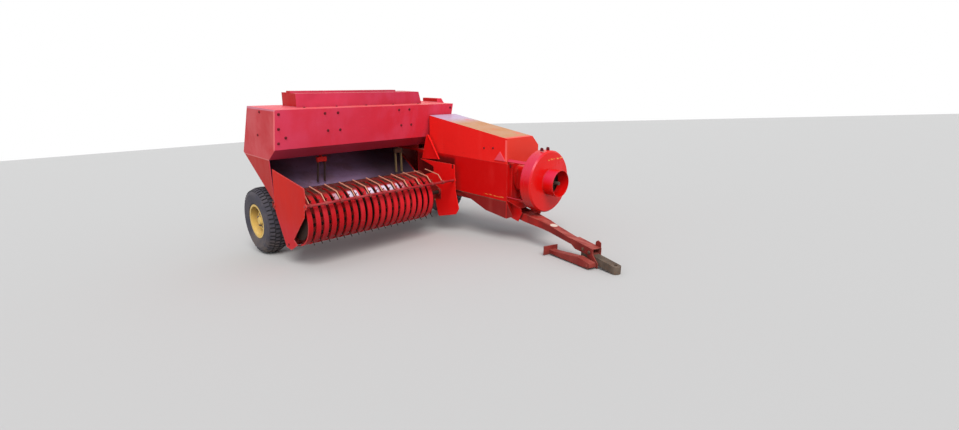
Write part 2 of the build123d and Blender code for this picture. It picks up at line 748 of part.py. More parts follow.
with BuildPart() as drawbar:
    extrude(drawbar_face(0, drawbar_outline), amount=drawbar_root_width / 2, both=True)
    extrude(drawbar_plan(0), amount=drawbar_top[0][1], mode=Mode.INTERSECT)
    with Locations((0, swing_pin_y, (drawbar_top[0][1] + drawbar_low[0][1]) / 2)):
        Cylinder(boss_radius, drawbar_top[0][1] - drawbar_low[0][1] + drawbar_play / 2)
    hollow = extrude(drawbar_face(0, drawbar_hollow), amount=drawbar_root_width / 2, both=True,
                     mode=Mode.PRIVATE)
    hollow &= extrude(drawbar_plan(drawbar_wall), amount=drawbar_top[0][1], mode=Mode.PRIVATE)
    add(hollow, mode=Mode.SUBTRACT)
    with Locations((0, swing_pin_y, drawbar_top[0][1])):
        Cylinder(swing_pin_radius + pin_clearance, 4 * drawbar_top[0][1], mode=Mode.SUBTRACT)
    for side in (drawbar_width / 2, -head_outer):
        extrude(drawbar_face(side, head_outline), amount=head_plate)
    extrude(drawbar_face(0, (head_outline[0], head_outline[1], drawbar_top[3],
                             (head_start, head_outline[0][1] - head_plate))), amount=head_outer, both=True)
    extrude(drawbar_face(lug_inner, lug_outline), amount=head_outer - lug_inner)
    extrude(drawbar_disc(head_outer, stand_pivot, stand_boss_radius), amount=swing_gap - 1)
    extrude(drawbar_disc(head_outer, stand_pivot, stand_pin_radius),
            amount=swing_gap + stand_width + pin_head)
    extrude(drawbar_face(-head_outer, hook_outline), amount=head_plate)

tongue_outline = (
    (tongue_start, drawbar_end_low),
    (drawbar_end, drawbar_end_low),
    (tongue_end, tongue_end_top),
    (tongue_end, tongue_end_top - tongue_depth),
    (stand_pivot[0], stand_pivot[1] + 4),
    (tongue_start, drawbar_end_low - 45),
)

with BuildPart() as hitch_tongue:
    extrude(drawbar_face(0, tongue_outline), amount=tongue_width / 2, both=True)
    tip_edges = hitch_tongue.edges().filter_by(Axis.Z).sort_by(Axis.Y)[0:2]
    fillet(tip_edges, radius=tongue_width / 2 - 4)
    hole_u = tongue_end - hitch_hole_setback
    hole_xy = (hole_u * along[0], swing_pin_y + hole_u * along[1])
    with Locations((*hole_xy, tongue_end_top)):
        Cylinder(hitch_hole_radius, 4 * tongue_depth, mode=Mode.SUBTRACT)

# Parking stand, a channel open towards the drawbar, folded back with its foot near the pin
stand_outline = (
    (stand_pivot[0] + 34, stand_pivot[1] - 8), (stand_pivot[0] + 30, stand_pivot[1] + 26),
    (1211, 322), (880, 268), (806, 262), (802, 228), (985, 236), (1290, stand_pivot[1] - 26),
)
foot_inner = 30
foot_length = 150
foot_outline = ((796, 298), (806, 298), (804, 215), (794, 215))

with BuildPart() as parking_stand:
    extrude(drawbar_face(stand_inner, stand_outline), amount=stand_width)
    extrude(drawbar_face(stand_inner, stand_outline, stand_sheet), amount=stand_width - stand_sheet,
            mode=Mode.SUBTRACT)
    extrude(drawbar_face(foot_inner, foot_outline), amount=foot_length)
    extrude(drawbar_disc(stand_inner, stand_pivot, stand_boss_radius - 2), amount=stand_width)
    extrude(drawbar_disc(stand_inner - 1, stand_pivot, stand_pin_radius + pin_clearance),
            amount=stand_width + 2, mode=Mode.SUBTRACT)

# Wheels, each laid out as a section through the spindle: distance outward, radius
half_tyre = tyre_width / 2
tyre_radius = tyre_diameter / 2
bead_half = 95
tyre_outline = (
    (-bead_half, bead_radius), (-bead_half, rim_flange_radius + 1), (-half_tyre, 250), (-half_tyre + 4, 296),
    (-half_tyre + 22, tyre_radius - 14), (-half_tyre + 62, tyre_radius - 2), (0, tyre_radius),
)
cavity_outline = (
    (-bead_half + tyre_wall, bead_radius), (-bead_half + tyre_wall, 184), (-half_tyre + tyre_wall, 250),
    (-half_tyre + tyre_wall + 4, 290), (-half_tyre + 46, tyre_radius - 36), (0, tyre_radius - 30),
)
rim_flange_half = bead_half + rim_sheet
barrel_outline = (
    (-rim_flange_half, rim_flange_radius), (-bead_half, rim_flange_radius), (-bead_half, bead_radius),
    (bead_half, bead_radius), (bead_half, rim_flange_radius), (rim_flange_half, rim_flange_radius),
    (rim_flange_half, bead_radius - rim_sheet), (-rim_flange_half, bead_radius - rim_sheet),
)
dish_outline = (
    (6, bead_radius - 3), (14, bead_radius - 3), (46, 100), (46, hub_radius - 2),
    (38, hub_radius - 2), (38, 98), (6, bead_radius - 8),
)
hub_bore_end = hub_length / 2 - 2
hub_cap_length = 14
hub_outline = (
    (-hub_length / 2, stub_radius + pin_clearance), (-hub_length / 2, hub_radius - 8),
    (30, hub_radius), (hub_length / 2, hub_radius), (hub_length / 2 + hub_cap_length, hub_radius - 12),
    (hub_length / 2 + hub_cap_length, 0), (hub_bore_end, 0), (hub_bore_end, stub_radius + pin_clearance),
)
# Side each wheel faces and the X of its middle plane
wheel_right_plane = Plane(origin=(-wheel_track_right, 0, axle_z), x_dir=(-1, 0, 0), z_dir=(0, 1, 0))
wheel_left_plane = Plane(origin=(wheel_track_left, 0, axle_z), x_dir=(1, 0, 0), z_dir=(0, -1, 0))


def mirrored(points):
    """The half section and its mirror image, as one closed run of corners."""
    return (*points, *[(-across, radius) for across, radius in reversed(points[:-1])])


def section_face(plane, *outlines):
    """Faces of one or more closed outlines of (distance, radius) corners."""
    with BuildSketch(plane) as section:
        for points in outlines:
            with BuildLine():
                Polyline(*points, close=True)
            make_face()
    return section.sketch


tyre_section = (*mirrored(tyre_outline), *reversed(mirrored(cavity_outline)))

with BuildPart() as tyre_right:
    revolve(section_face(wheel_right_plane, tyre_section), axis=Axis((0, 0, axle_z), (1, 0, 0)))

with BuildPart() as tyre_left:
    revolve(section_face(wheel_left_plane, tyre_section), axis=Axis((0, 0, axle_z), (1, 0, 0)))

with BuildPart() as rim_right:
    revolve(section_face(wheel_right_plane, barrel_outline, dish_outline, hub_outline),
            axis=Axis((0, 0, axle_z), (1, 0, 0)))

with BuildPart() as rim_left:
    revolve(section_face(wheel_left_plane, barrel_outline, dish_outline, hub_outline),
            axis=Axis((0, 0, axle_z), (1, 0, 0)))

# Pickup, hung on a pivot in front of the feed floor
lug_radius = 30
hinge_plate = 10
hinge_pin_radius = 12
hinge_pin_end = 8
right_hinge_x = 1960
left_hinge_x = 352
hinge_outline = (
    (floor_tip[0], flange_low + 6), (pickup_pivot[0], pickup_pivot[1] - lug_radius),
    (pickup_pivot[0], pickup_pivot[1] + lug_radius), (floor_tip[0], floor_tip[1] - 4),
)
pickup_sheet = 6

with BuildPart() as pickup_hinges:
    for x in (-right_hinge_x, -left_hinge_x):
        extrude(side_face(x, hinge_outline), amount=hinge_plate)
        extrude(disc_face(x, pickup_pivot, lug_radius), amount=hinge_plate)
    extrude(disc_face(-pickup_right - pickup_sheet - hinge_pin_end, pickup_pivot, hinge_pin_radius),
            amount=pickup_right + pickup_sheet + hinge_pin_end - right_hinge_x)
    extrude(disc_face(-left_hinge_x, pickup_pivot, hinge_pin_radius),
            amount=left_hinge_x - pickup_left + pickup_sheet + hinge_pin_end)

right_plate_outline = (
    (-476, 942), (-1092, 862), (-1102, 787), (-1053, 591), (-805, 337),
    (-867, 296), (-734, 221), (-634, 227), (-470, 523), (-452, 589),
)
left_plate_outline = (
    (-506, 867), (-1099, 870), (-1110, 583), (-1166, 392), (-1120, 322), (-820, 240), (-735, 560),
    (-600, 650), (-585, 692), (-745, 742), (-745, 808),
)
# Corner of the left plate, and its rounding
left_plate_rounds = (((-1099, 870), 22), ((-1166, 392), 30), ((-1120, 322), 40), ((-820, 240), 25),
                     ((-745, 742), 28), ((-745, 808), 24))
reel_shaft_radius = 20
reel_boss = 24
reel_boss_radius = 42

with BuildPart() as pickup_plate_right:
    extrude(side_face(-pickup_right - pickup_sheet, right_plate_outline), amount=pickup_sheet)
    extrude(disc_face(-pickup_right - pickup_sheet, pickup_pivot, lug_radius), amount=pickup_sheet)
    extrude(disc_face(-pickup_right - pickup_sheet, guard_tube, lug_radius), amount=pickup_sheet)
    extrude(disc_face(-pickup_right, reel_axis, reel_boss_radius), amount=reel_boss)
    extrude(disc_face(-pickup_right, reel_axis, reel_shaft_radius + pin_clearance),
            amount=reel_boss, mode=Mode.SUBTRACT)
    extrude(disc_face(-pickup_right - pickup_sheet, pickup_pivot, hinge_pin_radius + pin_clearance),
            amount=pickup_sheet, mode=Mode.SUBTRACT)
    extrude(disc_face(-pickup_right - pickup_sheet, guard_tube, guard_tube_pin + pin_clearance),
            amount=pickup_sheet, mode=Mode.SUBTRACT)

with BuildPart() as pickup_plate_left:
    extrude(side_face(-pickup_left, left_plate_outline), amount=pickup_sheet)
    for corner, radius in left_plate_rounds:
        across = pickup_plate_left.edges().filter_by(Axis.X)
        fillet(across.sort_by_distance((-pickup_left + pickup_sheet / 2, *corner))[0], radius=radius)
    extrude(disc_face(-pickup_left, guard_tube, lug_radius), amount=pickup_sheet)
    extrude(disc_face(-pickup_left, guard_tube, guard_tube_pin + pin_clearance),
            amount=pickup_sheet, mode=Mode.SUBTRACT)

left_arm_outline = (
    (-870, 455), (-870, 560), (-515, upper_crossbar[1] + crossbar_size / 2),
    (upper_crossbar[0] + crossbar_size / 2, upper_crossbar[1] + crossbar_size / 2),
    (pickup_pivot[0] + 26, pickup_pivot[1] + 14), (pickup_pivot[0], pickup_pivot[1] - lug_radius),
    (-640, 500), (lower_crossbar[0] + 24, lower_crossbar[1] - 16),
    (lower_crossbar[0] - 40, lower_crossbar[1] - 20),
    (-760, 440),
)
crossbar_right = pickup_right
crossbar_left = pickup_left + pickup_sheet
crossbar_length = crossbar_right - crossbar_left
crossbar_wall = 4
left_boss = 14
trough_radius = tine_tip_radius + 13
trough_start = -56
trough_end = 20
trough_top = (upper_crossbar[0] - 12, upper_crossbar[1] - crossbar_size / 2 + 2)

with BuildPart() as pickup_frame:
    for centre in (upper_crossbar, lower_crossbar):
        with Locations((-(crossbar_right + crossbar_left) / 2, *centre)):
            Box(crossbar_length, crossbar_size, crossbar_size)
            Box(crossbar_length, crossbar_size - 2 * crossbar_wall, crossbar_size - 2 * crossbar_wall,
                mode=Mode.SUBTRACT)
    with BuildSketch(Plane.YZ.offset(-crossbar_right)):
        with BuildLine():
            trough = CenterArc(reel_axis, trough_radius, trough_start, trough_end - trough_start)
            Line(trough @ 1, trough_top)
            offset(amount=band_sheet, side=Side.RIGHT)
        make_face()
    extrude(amount=crossbar_length)
    extrude(side_face(-crossbar_left, left_arm_outline), amount=pickup_sheet)
    extrude(disc_face(-crossbar_left, pickup_pivot, lug_radius), amount=pickup_sheet)
    extrude(disc_face(-crossbar_left, pickup_pivot, hinge_pin_radius + pin_clearance),
            amount=pickup_sheet, mode=Mode.SUBTRACT)
    extrude(disc_face(-crossbar_left - left_boss, reel_axis, reel_boss_radius - 2),
            amount=left_boss + pickup_sheet)
    extrude(disc_face(-crossbar_left - left_boss, reel_axis, reel_shaft_radius + pin_clearance),
            amount=left_boss, mode=Mode.SUBTRACT)


def tangent_angle(centre, radius, point, turn):
    """Angle around a circle where a line from an outside point touches it."""
    reach = hypot(point[0] - centre[0], point[1] - centre[1])
    bearing = degrees(atan2(point[1] - centre[1], point[0] - centre[0]))
    return bearing + turn * degrees(acos(radius / reach))


band_top_seat = (upper_crossbar[0] + crossbar_size / 2, upper_crossbar[1] + crossbar_size / 2)
band_top_bend = (upper_crossbar[0] - crossbar_size / 2 - 4, band_top_seat[1])
band_low_bend = (lower_crossbar[0] - crossbar_size / 2 - 4, lower_crossbar[1] - crossbar_size / 2)
band_low_seat = (lower_crossbar[0] + crossbar_size / 2, band_low_bend[1])
band_start = tangent_angle(reel_axis, band_radius, band_top_bend, 1)
band_end = 360 + tangent_angle(reel_axis, band_radius, band_low_bend, -1)
band_columns = [-first_band + band_pitch * i for i in range(band_count)]

with BuildPart() as stripper_bands:
    for x in band_columns:
        with BuildSketch(Plane.YZ.offset(x - band_width / 2)):
            with BuildLine():
                Line(band_top_seat, band_top_bend)
                Line(band_top_bend, on_circle(reel_axis, band_radius, band_start))
                CenterArc(reel_axis, band_radius, band_start, band_end - band_start)
                Line(on_circle(reel_axis, band_radius, band_end), band_low_bend)
                Line(band_low_bend, band_low_seat)
                offset(amount=band_sheet, side=Side.RIGHT)
            make_face()
        extrude(amount=band_width)
        for edge_x in (x - band_width / 2, x + band_width / 2 - band_sheet):
            with BuildSketch(Plane.YZ.offset(edge_x)):
                with BuildLine():
                    CenterArc(reel_axis, band_radius + 1, band_start, band_end - band_start)
                    offset(amount=band_flange, side=Side.LEFT)
                make_face()
            extrude(amount=band_sheet)
    strip_length = band_pitch * (band_count - 1) + band_width
    strip_middle = (band_columns[0] + band_columns[-1]) / 2
    with Locations((strip_middle, upper_crossbar[0], band_top_seat[1] + band_sheet / 2),
                   (strip_middle, lower_crossbar[0], band_low_seat[1] - band_sheet / 2)):
        Box(strip_length, crossbar_size, band_sheet)

tine_columns = [x + band_pitch / 2 for x in band_columns]
reel_right = pickup_right - 2
reel_left = crossbar_left + 2
tine_length = tine_tip_radius - tine_bar_radius
tine_bar_right = first_band + 2
tine_bar_left = -tine_columns[-1] - 20
tine_bar = 24
spider = 8
spider_columns = (-first_band - 2, -(first_band + tine_bar_left) / 2 - band_pitch / 4, -tine_bar_left - 8)

with BuildPart() as pickup_reel:
    extrude(disc_face(-reel_right, reel_axis, reel_shaft_radius), amount=reel_right - reel_left)
    bar_middle = -(tine_bar_right + tine_bar_left) / 2
    for bar in range(tine_bar_count):
        angle = 45 + bar * 360 / tine_bar_count
        bar_place = on_circle(reel_axis, tine_bar_radius, angle)
        tine_middle = on_circle(reel_axis, (tine_bar_radius + tine_tip_radius) / 2, angle)
        with Locations(Location((bar_middle, *bar_place), (angle, 0, 0))):
            Box(tine_bar_right - tine_bar_left, tine_bar, tine_bar)
        with Locations(*[Location((x, *tine_middle), (angle, 0, 0)) for x in tine_columns]):
            Box(tine_wire, tine_length, tine_wire)
    for x in spider_columns:
        extrude(disc_face(x, reel_axis, tine_bar_radius + 20), amount=spider)

rod_bend = (-1010, 772)
rod_tip = (-790, 802)
rod_columns = [-first_band + 2 * band_pitch * i for i in range(rod_count)]

with BuildPart() as crop_guard:
    tube_right = pickup_right - 3
    tube_left = crossbar_left - pickup_sheet + 3
    extrude(disc_face(-tube_right, guard_tube, guard_tube_radius), amount=tube_right - tube_left)
    extrude(disc_face(-pickup_right - pickup_sheet - 4, guard_tube, guard_tube_pin),
            amount=pickup_right - tube_left + pickup_sheet * 2 + 8)
    for x in rod_columns:
        extrude(side_face(x - rod_wire / 2, bar_corners(guard_tube, rod_bend, rod_wire)), amount=rod_wire)
        extrude(side_face(x - rod_wire / 2, bar_corners(rod_bend, rod_tip, rod_wire)), amount=rod_wire)
        extrude(disc_face(x - rod_wire / 2, rod_bend, rod_wire / 2), amount=rod_wire)

# Needle yoke and needles
yoke_tube_angle = needle_root_angle - 3
yoke_tube = on_circle(needle_pivot, needle_radius, yoke_tube_angle)

with BuildPart() as needle_yoke:
    for x in (-yoke_outer, yoke_inner):
        extrude(side_face(x, bar_corners(needle_pivot, yoke_tube, 50)), amount=yoke_plate)
        extrude(disc_face(x, needle_pivot, 34), amount=yoke_plate)
        extrude(disc_face(x, yoke_tube, 28), amount=yoke_plate)
    extrude(disc_face(-yoke_outer, yoke_tube, yoke_tube_radius), amount=2 * yoke_outer)
    for x in needle_columns:
        extrude(sector_face(x - needle_thickness / 2, needle_pivot, needle_radius - needle_half_depth,
                            needle_radius + needle_half_depth, needle_root_angle - 2, needle_rest_angle - 3),
                amount=needle_thickness)
        tip = on_circle(needle_pivot, needle_radius, needle_rest_angle)
        tip_outer = on_circle(needle_pivot, needle_radius + needle_half_depth, needle_rest_angle - 3.2)
        tip_inner = on_circle(needle_pivot, needle_radius - needle_half_depth, needle_rest_angle - 3.2)
        extrude(side_face(x - needle_thickness / 2, (tip_outer, tip, tip_inner)), amount=needle_thickness)
    for x in (-yoke_outer, yoke_inner):
        extrude(disc_face(x, needle_pivot, yoke_pin_radius + pin_clearance), amount=yoke_plate,
                mode=Mode.SUBTRACT)

# Knotters on the chamber roof, under a hinged cover
knotter_y = needle_y(roof_top) + 10
knotter_shaft = (knotter_y + 25, roof_top + 115)
knotter_plate = 10
knotter_frame_outline = (
    (knotter_y - 75, roof_top), (knotter_y - 60, roof_top + 60),
    (knotter_shaft[0] - 30, knotter_shaft[1] + 30), (knotter_shaft[0] + 30, knotter_shaft[1] + 30),
    (knotter_y + 120, roof_top + 20), (knotter_y + 120, roof_top),
)
knotter_stations = (-165, -35, 25, 155)
cover_hinge = (knotter_y + 220, roof_top + 20)
cover_hinge_pin = 6

with BuildPart() as knotter_frame:
    for x in knotter_stations:
        extrude(side_face(x, knotter_frame_outline), amount=knotter_plate)
    extrude(disc_face(-200, knotter_shaft, 16), amount=400)
    for x in (-190, 182):
        extrude(side_face(x, ((cover_hinge[0] - 16, roof_top), (cover_hinge[0] + 16, roof_top),
                              (cover_hinge[0] + 10, cover_hinge[1] + 10),
                              (cover_hinge[0] - 10, cover_hinge[1] + 10))), amount=8)
    extrude(disc_face(-190, cover_hinge, cover_hinge_pin), amount=380)

with BuildPart() as knotters:
    for x in needle_columns:
        extrude(disc_face(x - 8, knotter_shaft, 70), amount=16)
        extrude(disc_face(x - 26, knotter_shaft, 34), amount=52)
        with Locations((x, knotter_shaft[0] + 20, roof_top + 45)):
            Box(40, 46, 40)
    extrude(disc_face(-200, knotter_shaft, 16), amount=400, mode=Mode.SUBTRACT)

cover_side = 215
knotter_cover_outline = (
    (knotter_y - 130, roof_top + 12), (knotter_y - 130, roof_top + 160), (knotter_y - 60, roof_top + 225),
    (knotter_y + 110, roof_top + 225), (knotter_y + 190, roof_top + 130), (knotter_y + 190, roof_top + 12),
)

with BuildPart() as knotter_cover:
    extrude(side_face(-cover_side, knotter_cover_outline), amount=2 * cover_side)
    offset(amount=-3, openings=knotter_cover.faces().sort_by(Axis.Z)[0])
    for x in (-150, 110):
        extrude(side_face(x, bar_corners((knotter_y + 188, cover_hinge[1]), cover_hinge, 16)), amount=40)
        extrude(disc_face(x, cover_hinge, cover_hinge_pin + 6), amount=40)
        extrude(disc_face(x, cover_hinge, cover_hinge_pin + pin_clearance), amount=40, mode=Mode.SUBTRACT)

# Star wheel that measures the bale
star_teeth = 10
star_shaft_radius = 12
with BuildPart() as star_wheel_mount:
    for x in (-52, 44):
        extrude(side_face(x, ((star_wheel_y - 50, roof_top), (star_wheel_y + 50, roof_top),
                              (star_wheel_y + 22, star_axis_z + 22), (star_wheel_y - 22, star_axis_z + 22))),
                amount=8)
    extrude(disc_face(-52, (star_wheel_y, star_axis_z), star_shaft_radius), amount=104)

with BuildPart() as star_wheel:
    with BuildSketch(Plane.YZ.offset(-star_wheel_width / 2)):
        with Locations((star_wheel_y, star_axis_z)):
            Circle(star_wheel_radius - 25)
            with PolarLocations(star_wheel_radius - 30, star_teeth):
                RegularPolygon(30, 3)
    extrude(amount=star_wheel_width)
    extrude(disc_face(-30, (star_wheel_y, star_axis_z), star_shaft_radius + 14), amount=60)
    extrude(disc_face(-30, (star_wheel_y, star_axis_z), star_shaft_radius + pin_clearance), amount=60,
            mode=Mode.SUBTRACT)

# Tension rails and screws at the rear
rail_front = 780
rail_rear = 1440
rail_size = (50, 40)
screw_y = 1300
screw_x = 285
crossbeam_size = 60
upper_beam_z = roof_top + rail_size[1] + crossbeam_size / 2
lower_beam_z = chamber_floor_bottom - crossbeam_size / 2 - 16

with BuildPart() as tension_rails:
    for x in (-150, 150):
        with Locations((x, (rail_front + rail_rear) / 2, roof_top + rail_size[1] / 2)):
            Box(rail_size[0], rail_rear - rail_front, rail_size[1])
            Box(rail_size[0] - 12, rail_rear - rail_front, rail_size[1] - 12, mode=Mode.SUBTRACT)

with BuildPart() as tension_beams:
    with Locations((0, screw_y, upper_beam_z), (0, screw_y, lower_beam_z)):
        Box(2 * screw_x + 70, crossbeam_size, crossbeam_size)
    with Locations((0, screw_y, chamber_floor_bottom - 8)):
        Box(300, crossbeam_size, 16)
    with Locations(*[(x, screw_y, z) for x in (-screw_x, screw_x) for z in (upper_beam_z, lower_beam_z)]):
        Cylinder(13, crossbeam_size, mode=Mode.SUBTRACT)

spring_top = upper_beam_z + crossbeam_size / 2 + 130

with BuildPart() as tension_screws:
    for x in (-screw_x, screw_x):
        with Locations((x, screw_y, (lower_beam_z + spring_top) / 2)):
            Cylinder(12, spring_top - lower_beam_z + 80)
        with Locations((x, screw_y, (upper_beam_z + crossbeam_size / 2 + spring_top) / 2)):
            Cylinder(26, spring_top - upper_beam_z - crossbeam_size / 2)
        with Locations((x, screw_y + 50, spring_top + 30)):
            Box(16, 120, 10)
        with Locations((x, screw_y + 102, spring_top + 75)):
            Cylinder(9, 90)
        with Locations((x, screw_y, lower_beam_z - crossbeam_size / 2 - 8)):
            Cylinder(20, 16)

# Bale ramp, folding up about its front edge
ramp_length = 450
ramp_half_width = 186
ramp_drop = 20
ramp_start = (ramp_pivot[0] + 12, ramp_pivot[1] + 6)
ramp_end = (ramp_start[0] + ramp_length, ramp_start[1] - ramp_drop)

with BuildPart() as bale_ramp:
    extrude(bent_sheet(-ramp_half_width, (ramp_start, ramp_end), thin_sheet), amount=2 * ramp_half_width)
    cheek = ((ramp_start[0] + 60, ramp_start[1] - 2), (ramp_start[0] + 90, ramp_start[1] + 50),
             (ramp_start[0] + 340, ramp_start[1] + 40), (ramp_start[0] + 370, ramp_start[1] - 14))
    for x in (-ramp_half_width, ramp_half_width - thin_sheet):
        extrude(side_face(x, cheek), amount=thin_sheet)
    for x in (-ramp_half_width - 8, ramp_half_width - 8):
        ear = (ramp_pivot, (ramp_start[0] + 80, ramp_start[1] - 3), (ramp_start[0] + 80, ramp_start[1] - 20),
               (ramp_pivot[0], ramp_pivot[1] - 12))
        extrude(side_face(x, ear), amount=16)
        extrude(disc_face(x, ramp_pivot, 14), amount=16)
        extrude(disc_face(x, ramp_pivot, ramp_pin_radius + pin_clearance), amount=16, mode=Mode.SUBTRACT)

# Twine box on the left, with its lid
twine_inner = 300
twine_outer = 550
twine_front = -250
twine_rear = 450
twine_bottom = 780
twine_top = 1130
lid_gap = 1
lid_hinge_x = twine_inner - 10
lid_hinge_z = twine_top + 6
lid_pin_radius = 4

with BuildPart() as twine_box:
    with Locations(((twine_inner + twine_outer) / 2, (twine_front + twine_rear) / 2,
                    (twine_bottom + twine_top) / 2)):
        Box(twine_outer - twine_inner, twine_rear - twine_front, twine_top - twine_bottom)
    offset(amount=-thin_sheet, openings=twine_box.faces().sort_by(Axis.Z)[-1])
    with Locations(*[((wall_outer + twine_inner) / 2, y, 910) for y in (twine_front + 20, twine_rear - 20)]):
        Box(twine_inner - wall_outer, 30, 40)
    for y in (twine_front + 60, twine_rear - 60):
        with Locations((lid_hinge_x, y, lid_hinge_z - 6)):
            Box(20, 12, 26)
    with Locations((lid_hinge_x, (twine_front + twine_rear) / 2, lid_hinge_z)):
        Cylinder(lid_pin_radius, twine_rear - twine_front - 120, rotation=(90, 0, 0))

with BuildPart() as twine_lid:
    with Locations(((lid_hinge_x + twine_outer) / 2 + 9, (twine_front + twine_rear) / 2,
                    twine_top + lid_gap + 2)):
        Box(twine_outer - lid_hinge_x - 2, twine_rear - twine_front + 8, 4)
    for y in (twine_front + 60, twine_rear - 60):
        with Locations((lid_hinge_x, y, lid_hinge_z)):
            Box(44, 24, 40, mode=Mode.SUBTRACT)
    for y in (-60, 220):
        with Locations((lid_hinge_x + 4, y, lid_hinge_z - 2)):
            Box(20, 60, 8)
        with Locations((lid_hinge_x, y, lid_hinge_z)):
            Cylinder(lid_pin_radius + 4, 60, rotation=(90, 0, 0))
            Cylinder(lid_pin_radius + pin_clearance, 60, rotation=(90, 0, 0), mode=Mode.SUBTRACT)

# Tip the machine about its axle until the tongue's end is on the floor
tongue_low = (swing_pin_y + tongue_end * along[1], tongue_end_top - tongue_depth)
reach = hypot(tongue_low[0], tongue_low[1] - axle_z)
bearing = atan2(axle_z - tongue_low[1], -tongue_low[0])
nose_down = degrees(asin(axle_z / reach) - bearing)
tip = Location((0, 0, axle_z)) * Location((0, 0, 0), (nose_down, 0, 0)) * Location((0, 0, -axle_z))

pieces = {
    "chamber_floor": chamber_floor,
    "chamber_wall_left": chamber_wall_left,
    "chamber_wall_right": chamber_wall_right,
    "chamber_roof": chamber_roof,
    "plunger": plunger,
    "crank_hood": crank_hood,
    "front_frame": front_frame,
    "gearbox": gearbox,
    "flywheel": flywheel,
    "flywheel_guard": flywheel_guard,
    "feeder_hood": feeder_hood,
    "feeder_top_cover": feeder_top_cover,
    "feed_side_wall": feed_side_wall,
    "feed_floor": feed_floor,
    "feeder_beam": feeder_beam,
    "feeder_shaft": feeder_shaft,
    "feeder_forks": feeder_forks,
    "feeder_drive_case": feeder_drive_case,
    "inlet_gusset": inlet_gusset,
    "underframe": underframe,
    "axle_beam": axle_beam,
    "drawbar_bracket": drawbar_bracket,
    "drawbar": drawbar,
    "hitch_tongue": hitch_tongue,
    "parking_stand": parking_stand,
    "tyre_right": tyre_right,
    "tyre_left": tyre_left,
    "rim_right": rim_right,
    "rim_left": rim_left,
    "pickup_hinges": pickup_hinges,
    "pickup_plate_right": pickup_plate_right,
    "pickup_plate_left": pickup_plate_left,
    "pickup_frame": pickup_frame,
    "stripper_bands": stripper_bands,
    "pickup_reel": pickup_reel,
    "crop_guard": crop_guard,
    "needle_yoke": needle_yoke,
    "knotter_frame": knotter_frame,
    "knotters": knotters,
    "knotter_cover": knotter_cover,
    "star_wheel_mount": star_wheel_mount,
    "star_wheel": star_wheel,
    "tension_rails": tension_rails,
    "tension_beams": tension_beams,
    "tension_screws": tension_screws,
    "bale_ramp": bale_ramp,
    "twine_box": twine_box,
    "twine_lid": twine_lid,
}

tipped = {name: tip * piece.part for name, piece in pieces.items()}
boxes = [piece.bounding_box() for piece in tipped.values()]
low = [min(getattr(box.min, axis) for box in boxes) for axis in "XYZ"]
high = [max(getattr(box.max, axis) for box in boxes) for axis in "XYZ"]
shift = Location((-(low[0] + high[0]) / 2, -(low[1] + high[1]) / 2, -low[2]))
parked = shift * tip

os.makedirs("parts", exist_ok=True)
for name, piece in pieces.items():
    piece.part.label = name
    settled = parked * piece.part
    settled.label = name
    export_step(settled, f"parts/{name}.step")
print("nose-down angle", round(nose_down, 3), "size", [round(b - a, 1) for a, b in zip(low, high)])
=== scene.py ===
# %% [markdown]
# # A small square baler, parked on its hitch tongue
# The solids come from the CAD source and stay as they are. This lesson dresses them:
# it sets the camera and the light, paints every solid with a worn finish made of
# shader nodes, and models the details that a CAD source leaves out, such as the tyre
# tread, the bolts, the tines' coils and the springs.

# %% Load the solids
import json
import math

import bpy
from mathutils import Matrix, Vector


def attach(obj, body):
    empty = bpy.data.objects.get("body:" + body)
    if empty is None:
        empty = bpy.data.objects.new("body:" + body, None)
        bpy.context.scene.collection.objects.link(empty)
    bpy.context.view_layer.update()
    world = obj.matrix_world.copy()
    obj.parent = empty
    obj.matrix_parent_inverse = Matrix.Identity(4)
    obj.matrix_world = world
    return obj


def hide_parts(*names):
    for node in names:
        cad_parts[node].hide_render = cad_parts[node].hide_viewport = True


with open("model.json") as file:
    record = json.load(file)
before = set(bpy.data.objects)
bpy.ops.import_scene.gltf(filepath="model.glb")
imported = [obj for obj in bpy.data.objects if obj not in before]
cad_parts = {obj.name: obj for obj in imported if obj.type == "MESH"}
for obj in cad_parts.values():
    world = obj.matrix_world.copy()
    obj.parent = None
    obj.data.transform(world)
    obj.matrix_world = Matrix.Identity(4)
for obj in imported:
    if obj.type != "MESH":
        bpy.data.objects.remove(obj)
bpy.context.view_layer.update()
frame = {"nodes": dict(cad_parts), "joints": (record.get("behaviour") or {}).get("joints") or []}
bpy.ops.object.select_all(action="DESELECT")

# %% [markdown]
# The baler is easiest to think about while it stands level, with its axle over Y 0
# and its bale chamber over X 0. Parked, it leans nose-down about the axle. Two facts
# in the loaded model give that lean: the axis of the drawbar's pin, which is upright
# on a level machine, and the place of a wheel. One matrix then takes any level place
# to the parked one.

# %% From the level machine to the parked one
joints = {joint["name"]: joint for joint in frame["joints"]}
PIN_AXIS = Vector(joints["drawbar_swing"]["axis"])
NOSE_DOWN = math.atan2(-PIN_AXIS.y, PIN_AXIS.z)
AXLE = Vector(joints["wheel_left_spin"]["pos_m"])
AXLE_HEIGHT = 0.3425
LEVEL_AXLE = Vector((0.435, 0, AXLE_HEIGHT))
PARKED = Matrix.Translation(AXLE) @ Matrix.Rotation(NOSE_DOWN, 4, "X") @ Matrix.Translation(-LEVEL_AXLE)
LEVELLED = PARKED.inverted()
print("nose-down by", round(math.degrees(NOSE_DOWN), 2), "degrees")

# %% [markdown]
# The photograph was taken by a person who stood before the right-hand front corner
# and held a wide lens a little above the hood. The turn, tilt and roll are applied
# one after the other, as on a tripod head, and the camera then gets the machine's
# lean too, because its place was worked out on the level machine.

# %% Camera
IMAGE_WIDTH = 959
FOCAL_PIXELS = 491.04
TRIPOD = Matrix.Translation((-3.8276, -4.9905, 1.7759))
TURN, TILT, ROLL = (math.radians(angle) for angle in (-45.061, -15.624, 0.63))

